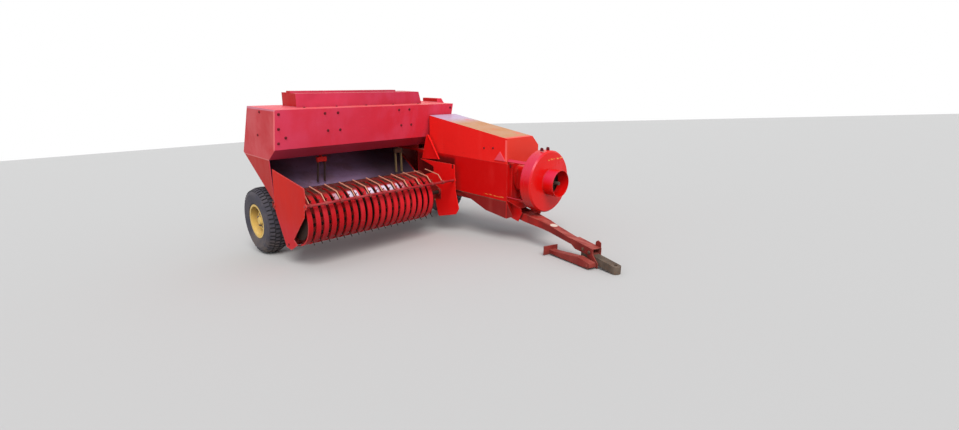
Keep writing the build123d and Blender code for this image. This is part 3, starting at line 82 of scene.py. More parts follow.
camera_data = bpy.data.cameras.new("camera")
camera_data.sensor_fit = "HORIZONTAL"
camera_data.sensor_width = 36
camera_data.lens = FOCAL_PIXELS / IMAGE_WIDTH * camera_data.sensor_width
camera = bpy.data.objects.new("camera", camera_data)
bpy.context.scene.collection.objects.link(camera)
bpy.context.scene.camera = camera
camera.matrix_world = (PARKED @ TRIPOD @ Matrix.Rotation(TURN, 4, "Z")
                       @ Matrix.Rotation(math.pi / 2 + TILT, 4, "X") @ Matrix.Rotation(ROLL, 4, "Z"))
print("camera at", [round(v, 3) for v in camera.matrix_world.translation])

# %% [markdown]
# Open shade lights the real machine: much sky from all round, and a little more from
# above and in front. A pale world and one broad sun give the same. The background
# that the camera and the glossy paint see is white, and adds no diffuse light. A
# second Background node and a Light Path node do that without a picture or a wall.

# %% Light and floor
world = bpy.data.worlds.new("studio")
bpy.context.scene.world = world
world.use_nodes = True
nodes, link = world.node_tree.nodes, world.node_tree.links.new
sky, backdrop = nodes["Background"], nodes.new("ShaderNodeBackground")
sky.inputs["Color"].default_value = (0.93, 0.96, 1.0, 1)
sky.inputs["Strength"].default_value = 0.66
backdrop.inputs["Color"].default_value = (1, 1, 1, 1)
path = nodes.new("ShaderNodeLightPath")
seen = path.outputs["Is Camera Ray"]
for kind in ("Glossy", "Transmission"):
    either = nodes.new("ShaderNodeMath")
    either.operation = "MAXIMUM"
    link(seen, either.inputs[0])
    link(path.outputs[f"Is {kind} Ray"], either.inputs[1])
    seen = either.outputs[0]
choice = nodes.new("ShaderNodeMixShader")
link(seen, choice.inputs["Fac"])
link(sky.outputs[0], choice.inputs[1])
link(backdrop.outputs[0], choice.inputs[2])
link(choice.outputs[0], nodes["World Output"].inputs["Surface"])

sun_data = bpy.data.lights.new("broad_sun", "SUN")
sun_data.energy = 2.5
sun_data.angle = math.radians(35)
sun_data.color = (1.0, 0.97, 0.93)
sun = bpy.data.objects.new("broad_sun", sun_data)
bpy.context.scene.collection.objects.link(sun)
sun.rotation_euler = Vector((0.46, 0.74, -0.9)).to_track_quat("-Z", "Y").to_euler()

bpy.ops.mesh.primitive_plane_add(size=60)
floor = bpy.context.object
floor.name = "floor"
floor_paint = bpy.data.materials.new("floor")
floor_paint.use_nodes = True
floor_shader = floor_paint.node_tree.nodes["Principled BSDF"]
floor_shader.inputs["Base Color"].default_value = (0.54, 0.54, 0.54, 1)
floor_shader.inputs["Roughness"].default_value = 0.9
floor.data.materials.append(floor_paint)
bpy.context.scene.view_settings.view_transform = "Standard"
print("light and floor made")

# %% [markdown]
# ## Finishes
# A finish is a small tree of shader nodes. Written as Python expressions, its maths
# stays readable: a Value wraps one socket, and each operator adds a Math node.

# %% A wrapper for shader maths


class Value:
    """A number or colour inside a finish, with Python's operators."""

    def __init__(self, finish, socket):
        self.finish = finish
        self.socket = socket

    def maths(self, operation, *others):
        inputs = dict(enumerate((self, *others)))
        return self.finish.node("ShaderNodeMath", inputs, operation=operation)

    def __add__(self, other):
        return self.maths("ADD", other)

    def __sub__(self, other):
        return self.maths("SUBTRACT", other)

    def __rsub__(self, other):
        return self.finish.node("ShaderNodeMath", {0: other, 1: self}, operation="SUBTRACT")

    def __mul__(self, other):
        return self.maths("MULTIPLY", other)

    __radd__ = __add__
    __rmul__ = __mul__

    def rise(self, low, high):
        """0 up to low and 1 from high, with a soft step between. High may be the smaller."""
        return self.finish.node("ShaderNodeMapRange", {"Value": self, "From Min": low, "From Max": high},
                                interpolation_type="SMOOTHSTEP")

    def toward(self, other, share):
        """This colour where share is 0, the other where it is 1."""
        return self.finish.mixed(share, self, other)


class Finish:
    """A material that is built by method calls."""

    def __init__(self, name):
        self.material = bpy.data.materials.new(name)
        self.material.use_nodes = True
        self.tree = self.material.node_tree
        self.shader = self.tree.nodes["Principled BSDF"]

    def put(self, socket, value):
        if isinstance(value, Value):
            self.tree.links.new(value.socket, socket)
        else:
            socket.default_value = value

    def node(self, kind, inputs, output=0, **settings):
        """A new node with its inputs and settings. The answer is one of its outputs."""
        made = self.tree.nodes.new(kind)
        for key, value in settings.items():
            setattr(made, key, value)
        for key, value in inputs.items():
            self.put(made.inputs[key], value)
        return Value(self, made.outputs[output])

    def mixed(self, share, first, second):
        """Colour first where share is 0 and second where it is 1."""
        mix = self.tree.nodes.new("ShaderNodeMix")
        mix.data_type = "RGBA"
        for socket, value in ((mix.inputs[0], share), (mix.inputs[6], first), (mix.inputs[7], second)):
            self.put(socket, value if isinstance(value, (Value, float, int)) else (*value, 1))
        return Value(self, mix.outputs[2])

    def shade(self, **values):
        for key, value in values.items():
            self.put(self.shader.inputs[key.replace("_", " ")], value)


print("finish tools ready")

# %% [markdown]
# Every pattern starts from a place on the level machine, in metres. The solids sit
# at the origin with their place in their mesh, so Object coordinates are places on
# the parked machine, and a Mapping node with the lean taken off makes them level.
# Three patterns come back in most finishes: cloudy noise, a worn edge, and grime
# with painted shade in the corners. A Coat is a finish that can make them.

# %% Patterns that the finishes share


class Coat(Finish):
    """A finish whose patterns follow the level machine."""

    def __init__(self, name):
        super().__init__(name)
        parked = self.node("ShaderNodeTexCoord", {}, "Object")
        levelling = {"Vector": parked, "Location": LEVELLED.translation, "Rotation": (-NOSE_DOWN, 0, 0)}
        self.place = self.node("ShaderNodeMapping", levelling)

    def cloud(self, scale, detail=3.0, roughness=0.55, stretch=None):
        """Noise from 0 to 1. It is finer along an axis with a larger stretch."""
        place = self.place
        if stretch:
            place = self.node("ShaderNodeMapping", {"Vector": place, "Scale": stretch})
        inputs = {"Vector": place, "Scale": scale, "Detail": detail, "Roughness": roughness}
        return self.node("ShaderNodeTexNoise", inputs)

    def along(self, axis):
        """The place on one axis of the level machine."""
        return self.node("ShaderNodeSeparateXYZ", {0: self.place}, axis)

    def within(self, axis, low, high, soft):
        """1 between two places on an axis, with soft ends."""
        along = self.along(axis)
        return along.rise(low - soft, low) * along.rise(high + soft, high)

    def vector_maths(self, operation, first, second, output=0):
        return self.node("ShaderNodeVectorMath", {0: first, 1: second}, output, operation=operation)

    def from_point(self, point):
        return self.vector_maths("DISTANCE", self.place, point, "Value")

    def from_line(self, y, z):
        """How far a place is from a line along X."""
        flat = self.vector_maths("MULTIPLY", self.place, (0, 1, 1))
        return self.vector_maths("DISTANCE", flat, (0, y, z), "Value")

    def facing(self, axis):
        """How far a face looks along an axis, from -1 to 1."""
        normal = self.node("ShaderNodeTexCoord", {}, "Normal")
        return self.node("ShaderNodeSeparateXYZ", {0: normal}, axis)

    def worn_edge(self, radius):
        """1 along sharp outer edges, broken up by noise."""
        rounded = self.node("ShaderNodeBevel", {"Radius": radius}, samples=4)
        true = self.node("ShaderNodeNewGeometry", {}, "Normal")
        same = self.vector_maths("DOT_PRODUCT", rounded, true, "Value")
        return (1 - same).rise(0.015, 0.12) * self.cloud(38, 4).rise(0.36, 0.6)

    def shelter(self, distance):
        """1 in the open, less in corners and under overhangs."""
        return self.node("ShaderNodeAmbientOcclusion", {"Distance": distance}, "AO", samples=4)

    def roughened(self, heights, distance, strength):
        """A bump that starts from a slightly rounded edge, as folded or cast metal has."""
        rounded = self.node("ShaderNodeBevel", {"Radius": 0.0025}, samples=4)
        inputs = {"Height": heights, "Distance": distance, "Strength": strength, "Normal": rounded}
        return self.node("ShaderNodeBump", inputs)


print("patterns ready")

# %% [markdown]
# ### Weathered paint
# Old farm paint fades unevenly to a chalky tone, gets darker where grease and dust
# hold on, and wears to primer and rust along the edges. The corners and the faces
# that look down are darkened as well, and that darkening is painted shade. One
# function makes that coat, and each painted part calls it with its own colours and
# its own amount of wear. Where a part has a look of its own, a patch function
# changes the colour before the dirt and the painted shade go on.

# %% Paint
GREASE_AND_SHADE, RUST, PRIMER = (0.06, 0.03, 0.022), (0.125, 0.045, 0.022), (0.52, 0.3, 0.24)


def paint(name, fresh, faded, fade=0.5, rust=0.25, dirt=0.4, edge=0.6, gloss=0.32, shine=0.25,
          dusty_top=0.0, dust=(0.62, 0.4, 0.29), patch=None):
    """Fresh and faded are the ends of the colour. The other values say how much of each wear there is."""
    coat = Coat(name)
    streaks = coat.cloud(1.6, 4, stretch=(5, 5, 1.1))
    blotches = coat.cloud(2.3, 5, 0.6)
    fading = (streaks * 0.45 + blotches * 0.55).rise(0.62 - fade * 0.35, 0.8 - fade * 0.3)
    colour = coat.mixed(fading, fresh, faded)
    fine = coat.cloud(55, 4, 0.7)
    colour = colour.toward(tuple(0.55 * c for c in fresh), fine.rise(0.52, 0.85) * 0.22)
    if patch:
        colour = patch(coat, colour)
    up = coat.facing("Z")
    # Faces that look down go darker, toward a dark copy of the fresh colour: painted shade.
    colour = colour.toward(tuple(0.3 * c for c in fresh), up.rise(-0.15, -0.85) * 0.6)
    top = up.rise(0.8, 0.98)
    if dusty_top:
        colour = colour.toward(dust, top * coat.cloud(9, 5).rise(0.22, 0.55) * dusty_top)
    # Corners and places under overhangs, found by ambient occlusion, go toward a dark grease colour: grime
    # there, and painted shade as well.
    corners = coat.shelter(0.1).rise(0.8, 0.25)
    grime_and_shade = corners * (0.35 + coat.cloud(14, 4).rise(0.3, 0.7) * 0.65) * dirt
    colour = colour.toward(GREASE_AND_SHADE, grime_and_shade)
    scratches = coat.cloud(2.0, 2, stretch=(3, 40, 55)).rise(0.715, 0.75)
    bare = (coat.worn_edge(0.004) * edge).maths("MAXIMUM", scratches * edge * 0.7)
    spots = coat.cloud(21, 6, 0.68).rise(0.735 - 0.1 * rust, 0.79 - 0.1 * rust) * min(1, 4 * rust)
    primed = tuple(0.5 * c + 0.5 * d for c, d in zip(faded, PRIMER))
    colour = colour.toward(primed, bare * 0.75)
    colour = colour.toward(RUST, spots)
    rough = fading * 0.16 + gloss + top * dusty_top * 0.2 + spots * 0.35 + grime_and_shade * 0.3 + bare * 0.12
    heights = coat.cloud(5.5, 2) + fine * 0.03 - spots * 0.08 - bare * 0.04
    coat.shade(Base_Color=colour, Roughness=rough, Normal=coat.roughened(heights, 0.006, 0.6),
               Specular_IOR_Level=shine)
    return coat.material


print("paint ready")

# %% [markdown]
# #### The long hood
# The hood over the feeder is the largest sheet. The sun has made it chalky toward the
# machine's right, and its end wall is pink above a seam and brick red below, with a
# painted highlight along its folded edge and a painted sky reflection under its top
# edge. A painted picture would need the sheet unwrapped. A patch needs only the place
# in metres.

# %% Hood paint


def hood_patch(coat, colour):
    """Chalkier toward the machine's right. The end wall is pink above its seam and brick red below, with a
    painted highlight along its folded edge and a painted sky reflection under its top edge.
    """
    height = coat.along("Z")
    chalk = coat.along("X").rise(-0.6, -1.9) * coat.cloud(1.7, 4).rise(0.25, 0.6) * 0.6
    colour = colour.toward((0.82, 0.075, 0.16), chalk)
    blush = coat.cloud(3.5, 4).rise(0.38, 0.62)
    wall = coat.mixed(blush, (0.52, 0.03, 0.036), (0.57, 0.062, 0.07))
    # A pale strip on the end wall beside the hood's folded front edge: a painted highlight.
    fold_highlight = (coat.along("Y") * -0.975 + height * -0.223 - 0.2721).rise(-0.036, -0.024)
    wall = wall.toward((0.86, 0.15, 0.16), fold_highlight * height.rise(1.1, 1.13) * 0.9)
    # A pale violet band just under the top edge: a painted sky reflection.
    wall = wall.toward((0.7, 0.3, 0.42), height.rise(1.466, 1.474) * 0.6)
    wall = wall.toward((0.45, 0.005, 0.004), height.rise(1.488, 1.494))
    wall = wall.toward((0.42, 0.02, 0.013), height.rise(1.016, 1.01))
    wall = wall.toward((0.66, 0.2, 0.2), coat.within("Z", 1.009, 1.014, 0.003) * 0.8)
    end = coat.facing("X").rise(-0.6, -0.9)
    return colour.toward(wall, end * 0.95)


HOOD_WEAR = {"fade": 0.55, "rust": 0.05, "dirt": 0.35, "edge": 0.45, "gloss": 0.34, "shine": 0.08,
             "dusty_top": 0.25, "patch": hood_patch}
hood_paint = paint("hood_paint", (0.79, 0.034, 0.062), (0.82, 0.058, 0.112), **HOOD_WEAR)
cover_paint = paint("cover_paint", (0.51, 0.032, 0.066), (0.55, 0.052, 0.11), **HOOD_WEAR)
print("hood paints made")

# %% [markdown]
# #### The sheets at the front
# The crank hood's flat top is sun-faded and dusty, with a painted sky reflection on
# it, and its folded front edge gets a painted highlight. Two rows of yellow paint
# have nearly worn off the body and the flywheel guard. Only chips of them are left,
# so noise inside a box makes them.

# %% Front paints


def crank_patch(coat, colour):
    """The flat top is sun-faded and dusty with a painted sky reflection, peach at the front and pale
    violet by the feeder hood. The side's folded front edge gets a painted highlight.
    """
    top = coat.facing("Z").rise(0.8, 0.96) * coat.cloud(5, 4).rise(0.18, 0.48)
    # The top's colour is fading and dust with a painted sky reflection in it: peach toward the front, pale
    # violet by the hood.
    bleach_and_sky_reflection = coat.mixed(coat.along("Y").rise(-1.1, -0.75), (0.51, 0.26, 0.115), (0.5, 0.42, 0.6))
    edge_left = coat.along("Y").rise(-1.79, -1.7)
    colour = colour.toward(bleach_and_sky_reflection, top * edge_left * 0.95)
    scuffed = coat.cloud(3, 5, 0.65, stretch=(8, 2.5, 14)).rise(0.62, 0.72) * 0.45
    colour = colour.toward((0.3, 0.012, 0.012), scuffed)
    colour = colour.toward((0.77, 0.048, 0.03), coat.facing("Y").rise(-0.6, -0.9) * 0.9)
    side = coat.facing("X").rise(-0.6, -0.9)
    # A pale strip down the side's folded front edge: a painted highlight.
    fold_highlight = coat.within("Y", -1.8, -1.762, 0.005) * coat.within("Z", 0.985, 1.185, 0.01) * side
    colour = colour.toward((1.0, 0.135, 0.125), fold_highlight * 0.9)
    rib = coat.along("X").rise(-0.245, -0.2475)
    return colour.toward((0.8, 0.095, 0.145), rib * 0.8)


def chipped(coat, colour, *bounds):
    """Pale yellow chips in the paint, inside a box."""
    inside = 1
    for axis, (low, high) in zip("XYZ", bounds):
        inside = coat.within(axis, low, high, 0.006) * inside
    flakes = coat.cloud(2.4, 3, stretch=(14, 12, 60)).rise(0.5, 0.56)
    return colour.toward((0.78, 0.44, 0.09), inside * flakes)


def body_patch(coat, colour):
    """Chips along the seam of the lower body, and shade by the mouth of the chamber."""
    inlet = coat.within("Y", -1.0, -0.4, 0.05) * coat.along("Z").rise(0.96, 0.9)
    colour = colour.toward((0.05, 0.006, 0.006), inlet * coat.along("X").rise(-0.2, -0.23) * 0.8)
    side = coat.facing("X").rise(-0.5, -0.8)
    # A dark line along the seam under the crank hood, on the side: dirt, and painted shade in the gap.
    seam = coat.within("Z", 0.963, 0.976, 0.004) * coat.cloud(8, 5).rise(0.2, 0.45)
    colour = colour.toward((0.08, 0.006, 0.006), seam * side * 0.85)
    return chipped(coat, colour, (-0.26, -0.23), (-1.75, -1.48), (0.6095, 0.612))


def guard_face_patch(coat, colour):
    """Chips on the face, and a painted violet sky reflection where the round side looks up."""
    # Where the round side looks up, a violet tint is painted into the colour: a painted sky reflection.
    sky_reflection = coat.facing("X").rise(-0.1, -0.6) * coat.facing("Z").rise(-0.1, 0.6)
    outside = coat.along("X").rise(0.02, -0.02)
    colour = colour.toward((0.62, 0.03, 0.095), sky_reflection * outside * 0.7)
    return chipped(coat, colour, (-0.04, 0.18), (-2.15, -2.11), (1.016, 1.024))


crank_hood_paint = paint("crank_hood_paint", (0.89, 0.019, 0.016), (0.91, 0.036, 0.03), fade=0.45,
                         rust=0.06, dirt=0.35, edge=0.5, gloss=0.36, shine=0.1, patch=crank_patch)
body_paint = paint("body_paint", (0.62, 0.004, 0.004), (0.66, 0.012, 0.011), fade=0.35, rust=0.12,
                   dirt=0.45, edge=0.55, dusty_top=0.3, patch=body_patch)
guard_paint = paint("guard_paint", (0.7, 0.004, 0.003), (0.74, 0.018, 0.028), fade=0.3, rust=0.04,
                    dirt=0.3, edge=0.5, gloss=0.24, shine=0.3, patch=guard_face_patch)
print("front paints made")

# %% [markdown]
# #### Pickup plates, frame and drawbar
# The plates at the pickup's ends are scuffed by stones along their edges. The frame
# and the drawbar have the oldest paint, dark and rusty, and the drawbar keeps a bright
# patch under the guard and a worn pale spot.

# %% Plate, frame and drawbar paints


def plate_patch(coat, colour):
    """Pinker toward the low tip, and rubbed pale along the edges."""
    low = coat.along("Z").rise(0.56, 0.36) * 0.7
    colour = colour.toward((0.54, 0.022, 0.034), low)
    return colour.toward((0.62, 0.135, 0.145), coat.worn_edge(0.014) * 0.75)


def slot_patch(coat, colour):
    """The slot where the crop guard is adjusted, near the front of the left plate, painted dark: painted
    shade in an opening that is not modelled.
    """
    slot = coat.within("Y", -1.074, -1.058, 0.004) * coat.within("Z", 0.826, 0.866, 0.006)
    beside = coat.within("X", -0.33, -0.3, 0.004)
    return colour.toward((0.03, 0.012, 0.01), slot * beside * 0.95)


def drawbar_patch(coat, colour):
    """Bright paint is left at the root, under the flywheel guard."""
    root = coat.along("Y").rise(-2.32, -2.05) * coat.cloud(11, 5).rise(0.3, 0.48)
    colour = colour.toward((0.58, 0.022, 0.017), root * 0.85)
    # Pale patches on the top face: worn paint, and a painted highlight as well.
    top = coat.facing("Z").rise(0.6, 0.9) * coat.cloud(2.2, 5, stretch=(9, 2.5, 9)).rise(0.42, 0.6)
    colour = colour.toward((0.5, 0.13, 0.105), top * 0.6)
    # The sides and the underside go darker in mottled patches: painted shade.
    under = coat.facing("Z").rise(0.3, -0.1) * coat.cloud(7, 5).rise(0.4, 0.66)
    colour = colour.toward((0.12, 0.016, 0.014), under * 0.6)
    spot = coat.from_point((-0.2, -2.362, 0.449)).rise(0.04, 0.032)
    return colour.toward((0.74, 0.66, 0.58), spot * coat.facing("Z").rise(0.5, 0.8))


# A brighter copy of the body red for the left pickup plate and the inlet gusset, which stand in shade:
# painted light.
red_with_painted_light = paint("red_with_painted_light", (0.88, 0.008, 0.008), (0.92, 0.02, 0.018), fade=0.4, rust=0.12,
                     dirt=0.3, edge=0.8, dusty_top=0.2, patch=slot_patch)
plate_paint = paint("plate_paint", (0.55, 0.007, 0.003), (0.6, 0.018, 0.01), rust=0.3, dirt=0.35,
                    edge=0.8, gloss=0.38, shine=0.07, patch=plate_patch)
frame_paint = paint("frame_paint", (0.24, 0.01, 0.009), (0.31, 0.03, 0.024), rust=0.45, dirt=0.7,
                    gloss=0.45, dusty_top=0.3)
drawbar_paint = paint("drawbar_paint", (0.24, 0.016, 0.013), (0.3, 0.045, 0.036), fade=0.6, rust=0.65,
                      dirt=0.6, edge=0.9, gloss=0.5, shine=0.15, dusty_top=0.15, dust=(0.3, 0.1, 0.08),
                      patch=drawbar_patch)
print("plate and drawbar paints made")

# %% [markdown]
# ### Pickup bands and rods
# Straw slides over the curved bands all day, so the paint goes first on top of them,
# in the middle of the row, and bright steel shows, painted pale lilac with a painted
# sky reflection. Behind that strip dirt and litter lie on the bands. The bands' front
# faces are brightened toward the machine's left, which is painted light. The wires of
# the crop guard are rubbed to a pale rust.

# %% Bands and rods


def band_patch(coat, colour):
    """Steel rubbed bright in the middle of a band's top with a painted sky reflection on it, front faces
    brightened as painted light, and crop dirt behind.
    """
    up = coat.facing("Z")
    along = coat.along("Y")
    across = coat.along("X")
    # The front faces are brightened toward the machine's left, to make up for shade there: painted light.
    fronts = up.rise(0.35, 0.1) * across.rise(-1.75, -0.7) * 0.65
    colour = colour.toward((0.76, 0.018, 0.028), fronts)
    # Pale lilac patches in the middle of the band tops: steel rubbed bright, with a painted sky reflection
    # on it.
    middle = across.rise(-1.75, -1.6) * across.rise(-0.88, -1.02)
    near = along.rise(-1.025, -1.0) * along.rise(-0.945, -0.968) * up.rise(0.3, 0.5)
    rubbed = near * middle * coat.cloud(9, 2, stretch=(1, 0.2, 0.2)).rise(0.42, 0.5)
    colour = colour.toward((0.7, 0.66, 0.82), rubbed * 0.9)
    behind = up.rise(0.2, 0.6) * along.rise(-0.975, -0.9)
    litter = coat.cloud(45, 5, 0.7).rise(0.4, 0.68)
    colour = colour.toward((0.04, 0.019, 0.015), behind * 0.97)
    return colour.toward((0.17, 0.085, 0.055), behind * litter * 0.45)


band_paint = paint("band_paint", (0.45, 0.005, 0.009), (0.51, 0.016, 0.025), rust=0.2, dirt=0.5,
                   gloss=0.3, shine=0.12, patch=band_patch)


def guard_patch(coat, colour):
    """The wires are rubbed to a pale rust. The tube they spring from keeps its paint."""
    wires = coat.from_line(-1.084, 0.7).rise(0.018, 0.026)
    return colour.toward((0.66, 0.3, 0.2), wires * coat.cloud(12, 3).rise(0.2, 0.4))


rod_paint = paint("rod_paint", (0.31, 0.012, 0.018), (0.42, 0.055, 0.058), rust=0.4, dirt=0.35, edge=0.7,
                  gloss=0.42, patch=guard_patch)
print("band and rod paint made")

# %% [markdown]
# ### Polished sheet
# The sheet inside the feeder is polished by crop and stained grey and violet, and it
# is darker toward each end. It is metal only where it is bare, so Metallic varies
# over the surface too.

# %% Polished sheet


def crop_polished(name):
    coat = Coat(name)
    across = coat.along("X")
    sweep = coat.cloud(1.9, 4, 0.5, stretch=(1.2, 4, 4))
    stain = coat.cloud(3.1, 5, 0.6)
    colour = coat.mixed(sweep.rise(0.25, 0.75), (0.24, 0.155, 0.27), (0.36, 0.235, 0.4))
    colour = colour.toward((0.16, 0.08, 0.085), stain.rise(0.52, 0.66) * 0.5)
    ends = across.rise(-1.45, -1.9).maths("MAXIMUM", across.rise(-1.1, -0.62))
    colour = colour.toward((0.05, 0.028, 0.04), ends * 0.85)
    rust = coat.cloud(24, 6, 0.7).rise(0.6, 0.7)
    colour = colour.toward((0.1, 0.038, 0.022), rust * 0.6)
    colour = colour.toward((0.21, 0.014, 0.013), coat.facing("Z").rise(-0.05, -0.3))
    rough = 0.34 + stain.rise(0.45, 0.7) * 0.25 + rust * 0.25
    coat.shade(Base_Color=colour, Roughness=rough, Metallic=(1 - rust) * 0.3,
               Normal=coat.roughened(coat.cloud(4, 3) + sweep * 0.05, 0.008, 0.6))
    return coat.material


bare_sheet = crop_polished("bare_sheet")
print("polished sheet made")

# %% [markdown]
# ### Rust
# The castings, the bolts and the tines are rusty all over, from dark brown to orange
# dust, and rubbed to bare metal along their edges. Coarse noise carries the two
# browns and fine noise the dust, so that the rust has grain from near and from afar.

# %% Rusty steel and iron


def rusty(name, dark, light, shine=0.25, wear=0.6, patch=None):
    coat = Coat(name)
    coarse = coat.cloud(9, 6, 0.65)
    fine = coat.cloud(80, 5, 0.7)
    colour = coat.mixed(coarse.rise(0.38, 0.66), dark, light)
    colour = colour.toward((0.27, 0.095, 0.035), fine.rise(0.5, 0.72) * wear)
    rubbed = coat.worn_edge(0.003)
    colour = colour.toward((0.36, 0.3, 0.26), rubbed * wear)
    if patch:
        colour = patch(coat, colour)
    coat.shade(Specular_IOR_Level=0.25, Base_Color=colour, Roughness=0.62 + fine * 0.25 - rubbed * 0.2,
               Metallic=rubbed * wear + shine * 0.4,
               Normal=coat.roughened(coarse * 0.5 + fine * 0.25, 0.002, 0.5))
    return coat.material


def tine_patch(coat, colour):
    """Crop rubs the tines to a light tan above the bands. Below the bands they are painted near black:
    painted shade.
    """
    return colour.toward((0.03, 0.014, 0.01), coat.along("Z").rise(0.76, 0.7))


def fork_patch(coat, colour):
    """Dark prongs under a red head on the right-hand fork, pale ones under a dark head on the other."""
    far = coat.along("X").rise(-1.0, -0.9)
    colour = coat.mixed(far * 0.7, colour.toward((0.03, 0.02, 0.026), 0.6), (0.3, 0.22, 0.1))
    head = coat.along("Z").rise(0.925, 0.935)
    return colour.toward(coat.mixed(far, (0.66, 0.018, 0.014), (0.085, 0.04, 0.028)), head * 0.9)


rusty_steel = rusty("rusty_steel", (0.075, 0.038, 0.026), (0.165, 0.085, 0.055))
bolt_steel = rusty("bolt_steel", (0.11, 0.006, 0.01), (0.17, 0.01, 0.018), shine=0, wear=0.1)
cast_iron = rusty("cast_iron", (0.06, 0.045, 0.038), (0.125, 0.095, 0.075))
tongue_iron = rusty("tongue_iron", (0.08, 0.06, 0.046), (0.145, 0.11, 0.085))
worked_steel = rusty("worked_steel", (0.14, 0.12, 0.115), (0.26, 0.23, 0.22), shine=1.0)
tine_steel = rusty("tine_steel", (0.24, 0.1, 0.06), (0.5, 0.26, 0.15), shine=0.4, patch=tine_patch)
fork_steel = rusty("fork_steel", (0.075, 0.04, 0.03), (0.15, 0.085, 0.06), patch=fork_patch)
print("rusty metals made")

# %% [markdown]
# ### Wheels
# The tyre is dusty rubber, blue-black on the tread and browner low on its side. Its
# grooves are painted black as shade, and how sheltered a place is says where they
# are. The rim has ochre-yellow paint, worn to brown at its lips.

# %% Rubber and rim paint


def rubber(name):
    coat = Coat(name)
    dust = coat.cloud(7, 5, 0.6).rise(0.38, 0.68)
    fine = coat.cloud(160, 3, 0.7)
    colour = coat.mixed(dust * 0.6, (0.038, 0.035, 0.052), (0.092, 0.078, 0.086))
    low = coat.along("Z").rise(0.3, 0.05)
    colour = colour.toward((0.16, 0.12, 0.095), low * coat.cloud(12, 5).rise(0.35, 0.6) * 0.6)
    # The grooves between the tread blocks go black: painted shade.
    shelter = coat.shelter(0.02)
    crown = coat.from_line(0, AXLE_HEIGHT).rise(0.295, 0.312)
    colour = colour.toward((0.006, 0.005, 0.007), crown * shelter.rise(0.92, 0.6) * 0.95)
    coat.shade(Base_Color=colour, Roughness=0.68 + fine * 0.2,
               Normal=coat.node("ShaderNodeBump", {"Height": fine, "Distance": 0.0006, "Strength": 0.5}))
    return coat.material


tyre_rubber = rubber("tyre_rubber")
rim_paint = paint("rim_paint", (0.68, 0.46, 0.13), (0.74, 0.54, 0.22), rust=0.35, edge=0.8, gloss=0.45)
print("wheel finishes made")

# %% [markdown]
# ### Dress the solids
# Each solid takes the finish of the real part. The table names every solid once, so
# that one that was forgotten shows in the printed line.

# %% Dress the solids


def dress(piece, material):
    piece.data.materials.clear()
    piece.data.materials.append(material)


FINISHES = {
    hood_paint: ("feeder_hood", "feed_side_wall", "feeder_drive_case"),
    cover_paint: ("feeder_top_cover",),
    crank_hood_paint: ("crank_hood",),
    body_paint: ("chamber_wall_left", "chamber_wall_right", "chamber_roof", "front_frame", "knotter_cover",
                 "twine_box", "twine_lid", "gearbox", "drawbar_bracket"),
    red_with_painted_light: ("inlet_gusset", "pickup_plate_left"),
    guard_paint: ("flywheel_guard",),
    plate_paint: ("pickup_plate_right",),
    frame_paint: ("underframe", "axle_beam", "feeder_beam", "pickup_frame", "star_wheel_mount",
                  "tension_rails", "tension_beams", "bale_ramp", "pickup_hinges"),
    drawbar_paint: ("drawbar", "parking_stand"),
    band_paint: ("stripper_bands",),
    rod_paint: ("crop_guard",),
    bare_sheet: ("feed_floor",),
    rusty_steel: ("chamber_floor", "plunger", "feeder_shaft", "star_wheel"),
    fork_steel: ("feeder_forks",),
    tine_steel: ("pickup_reel",),
    cast_iron: ("flywheel", "knotter_frame", "knotters"),
    tongue_iron: ("hitch_tongue",),
    worked_steel: ("needle_yoke", "tension_screws"),
    tyre_rubber: ("tyre_right", "tyre_left"),
    rim_paint: ("rim_right", "rim_left"),
}
for material, names in FINISHES.items():
    for name in names:
        dress(frame["nodes"][name], material)
dressed = {name for names in FINISHES.values() for name in names}
print("solids without a finish:", sorted(set(frame["nodes"]) - dressed))

# %% [markdown]
# ## Details
# Every detail is modelled level, where that is easiest, and then settled: its mesh
# takes the machine's lean, and the piece gets its finish, its material slot and the
# body that it moves with. The lean could sit on each object instead, but a mesh with
# its place in it lets the finishes read the same coordinates as on the solids.

# %% Tools for shapes


def select(*pieces):
    """Only these pieces selected, the first one active."""
    bpy.ops.object.select_all(action="DESELECT")
    for piece in pieces:
        piece.select_set(True)
    bpy.context.view_layer.objects.active = pieces[0]


def edit_all():
    bpy.ops.object.mode_set(mode="EDIT")
    bpy.ops.mesh.select_all(action="SELECT")


def shape(name, corners, edges=(), faces=()):
    """A new piece from corners on the level machine, selected."""
    mesh = bpy.data.meshes.new(name)
    mesh.from_pydata(corners, edges, faces)
    piece = bpy.data.objects.new(name, mesh)
    bpy.context.scene.collection.objects.link(piece)
    select(piece)
    return piece


def smoothed(piece, degrees=35):
    select(piece)
    bpy.ops.object.shade_smooth_by_angle(angle=math.radians(degrees))
    return piece


def turned(name, outline, steps, closed=True):
    """A turned piece: its outline of (along, radius) points goes round the X axis."""
    edges = [(i, i + 1) for i in range(len(outline) - 1)] + ([(len(outline) - 1, 0)] if closed else [])
    piece = shape(name, [(along, 0, radius) for along, radius in outline], edges)
    edit_all()
    bpy.ops.mesh.spin(steps=steps, angle=2 * math.pi, center=(0, 0, 0), axis=(1, 0, 0))
    bpy.ops.mesh.select_all(action="SELECT")
    bpy.ops.mesh.remove_doubles(threshold=0.00005)
    bpy.ops.mesh.normals_make_consistent()
    bpy.ops.object.mode_set(mode="OBJECT")
    return smoothed(piece)


print("shape tools ready")

# %% [markdown]
# Equal parts, such as the bolts, come from one model. It is copied to every place and
# the copies are joined, so that they ride and get their finish as one piece.

# %% Tools for copies and for the last step


def joined(name, pieces):
    """Several pieces as one."""
    select(*pieces)
    bpy.ops.object.join()
    pieces[0].name = name
    return pieces[0]


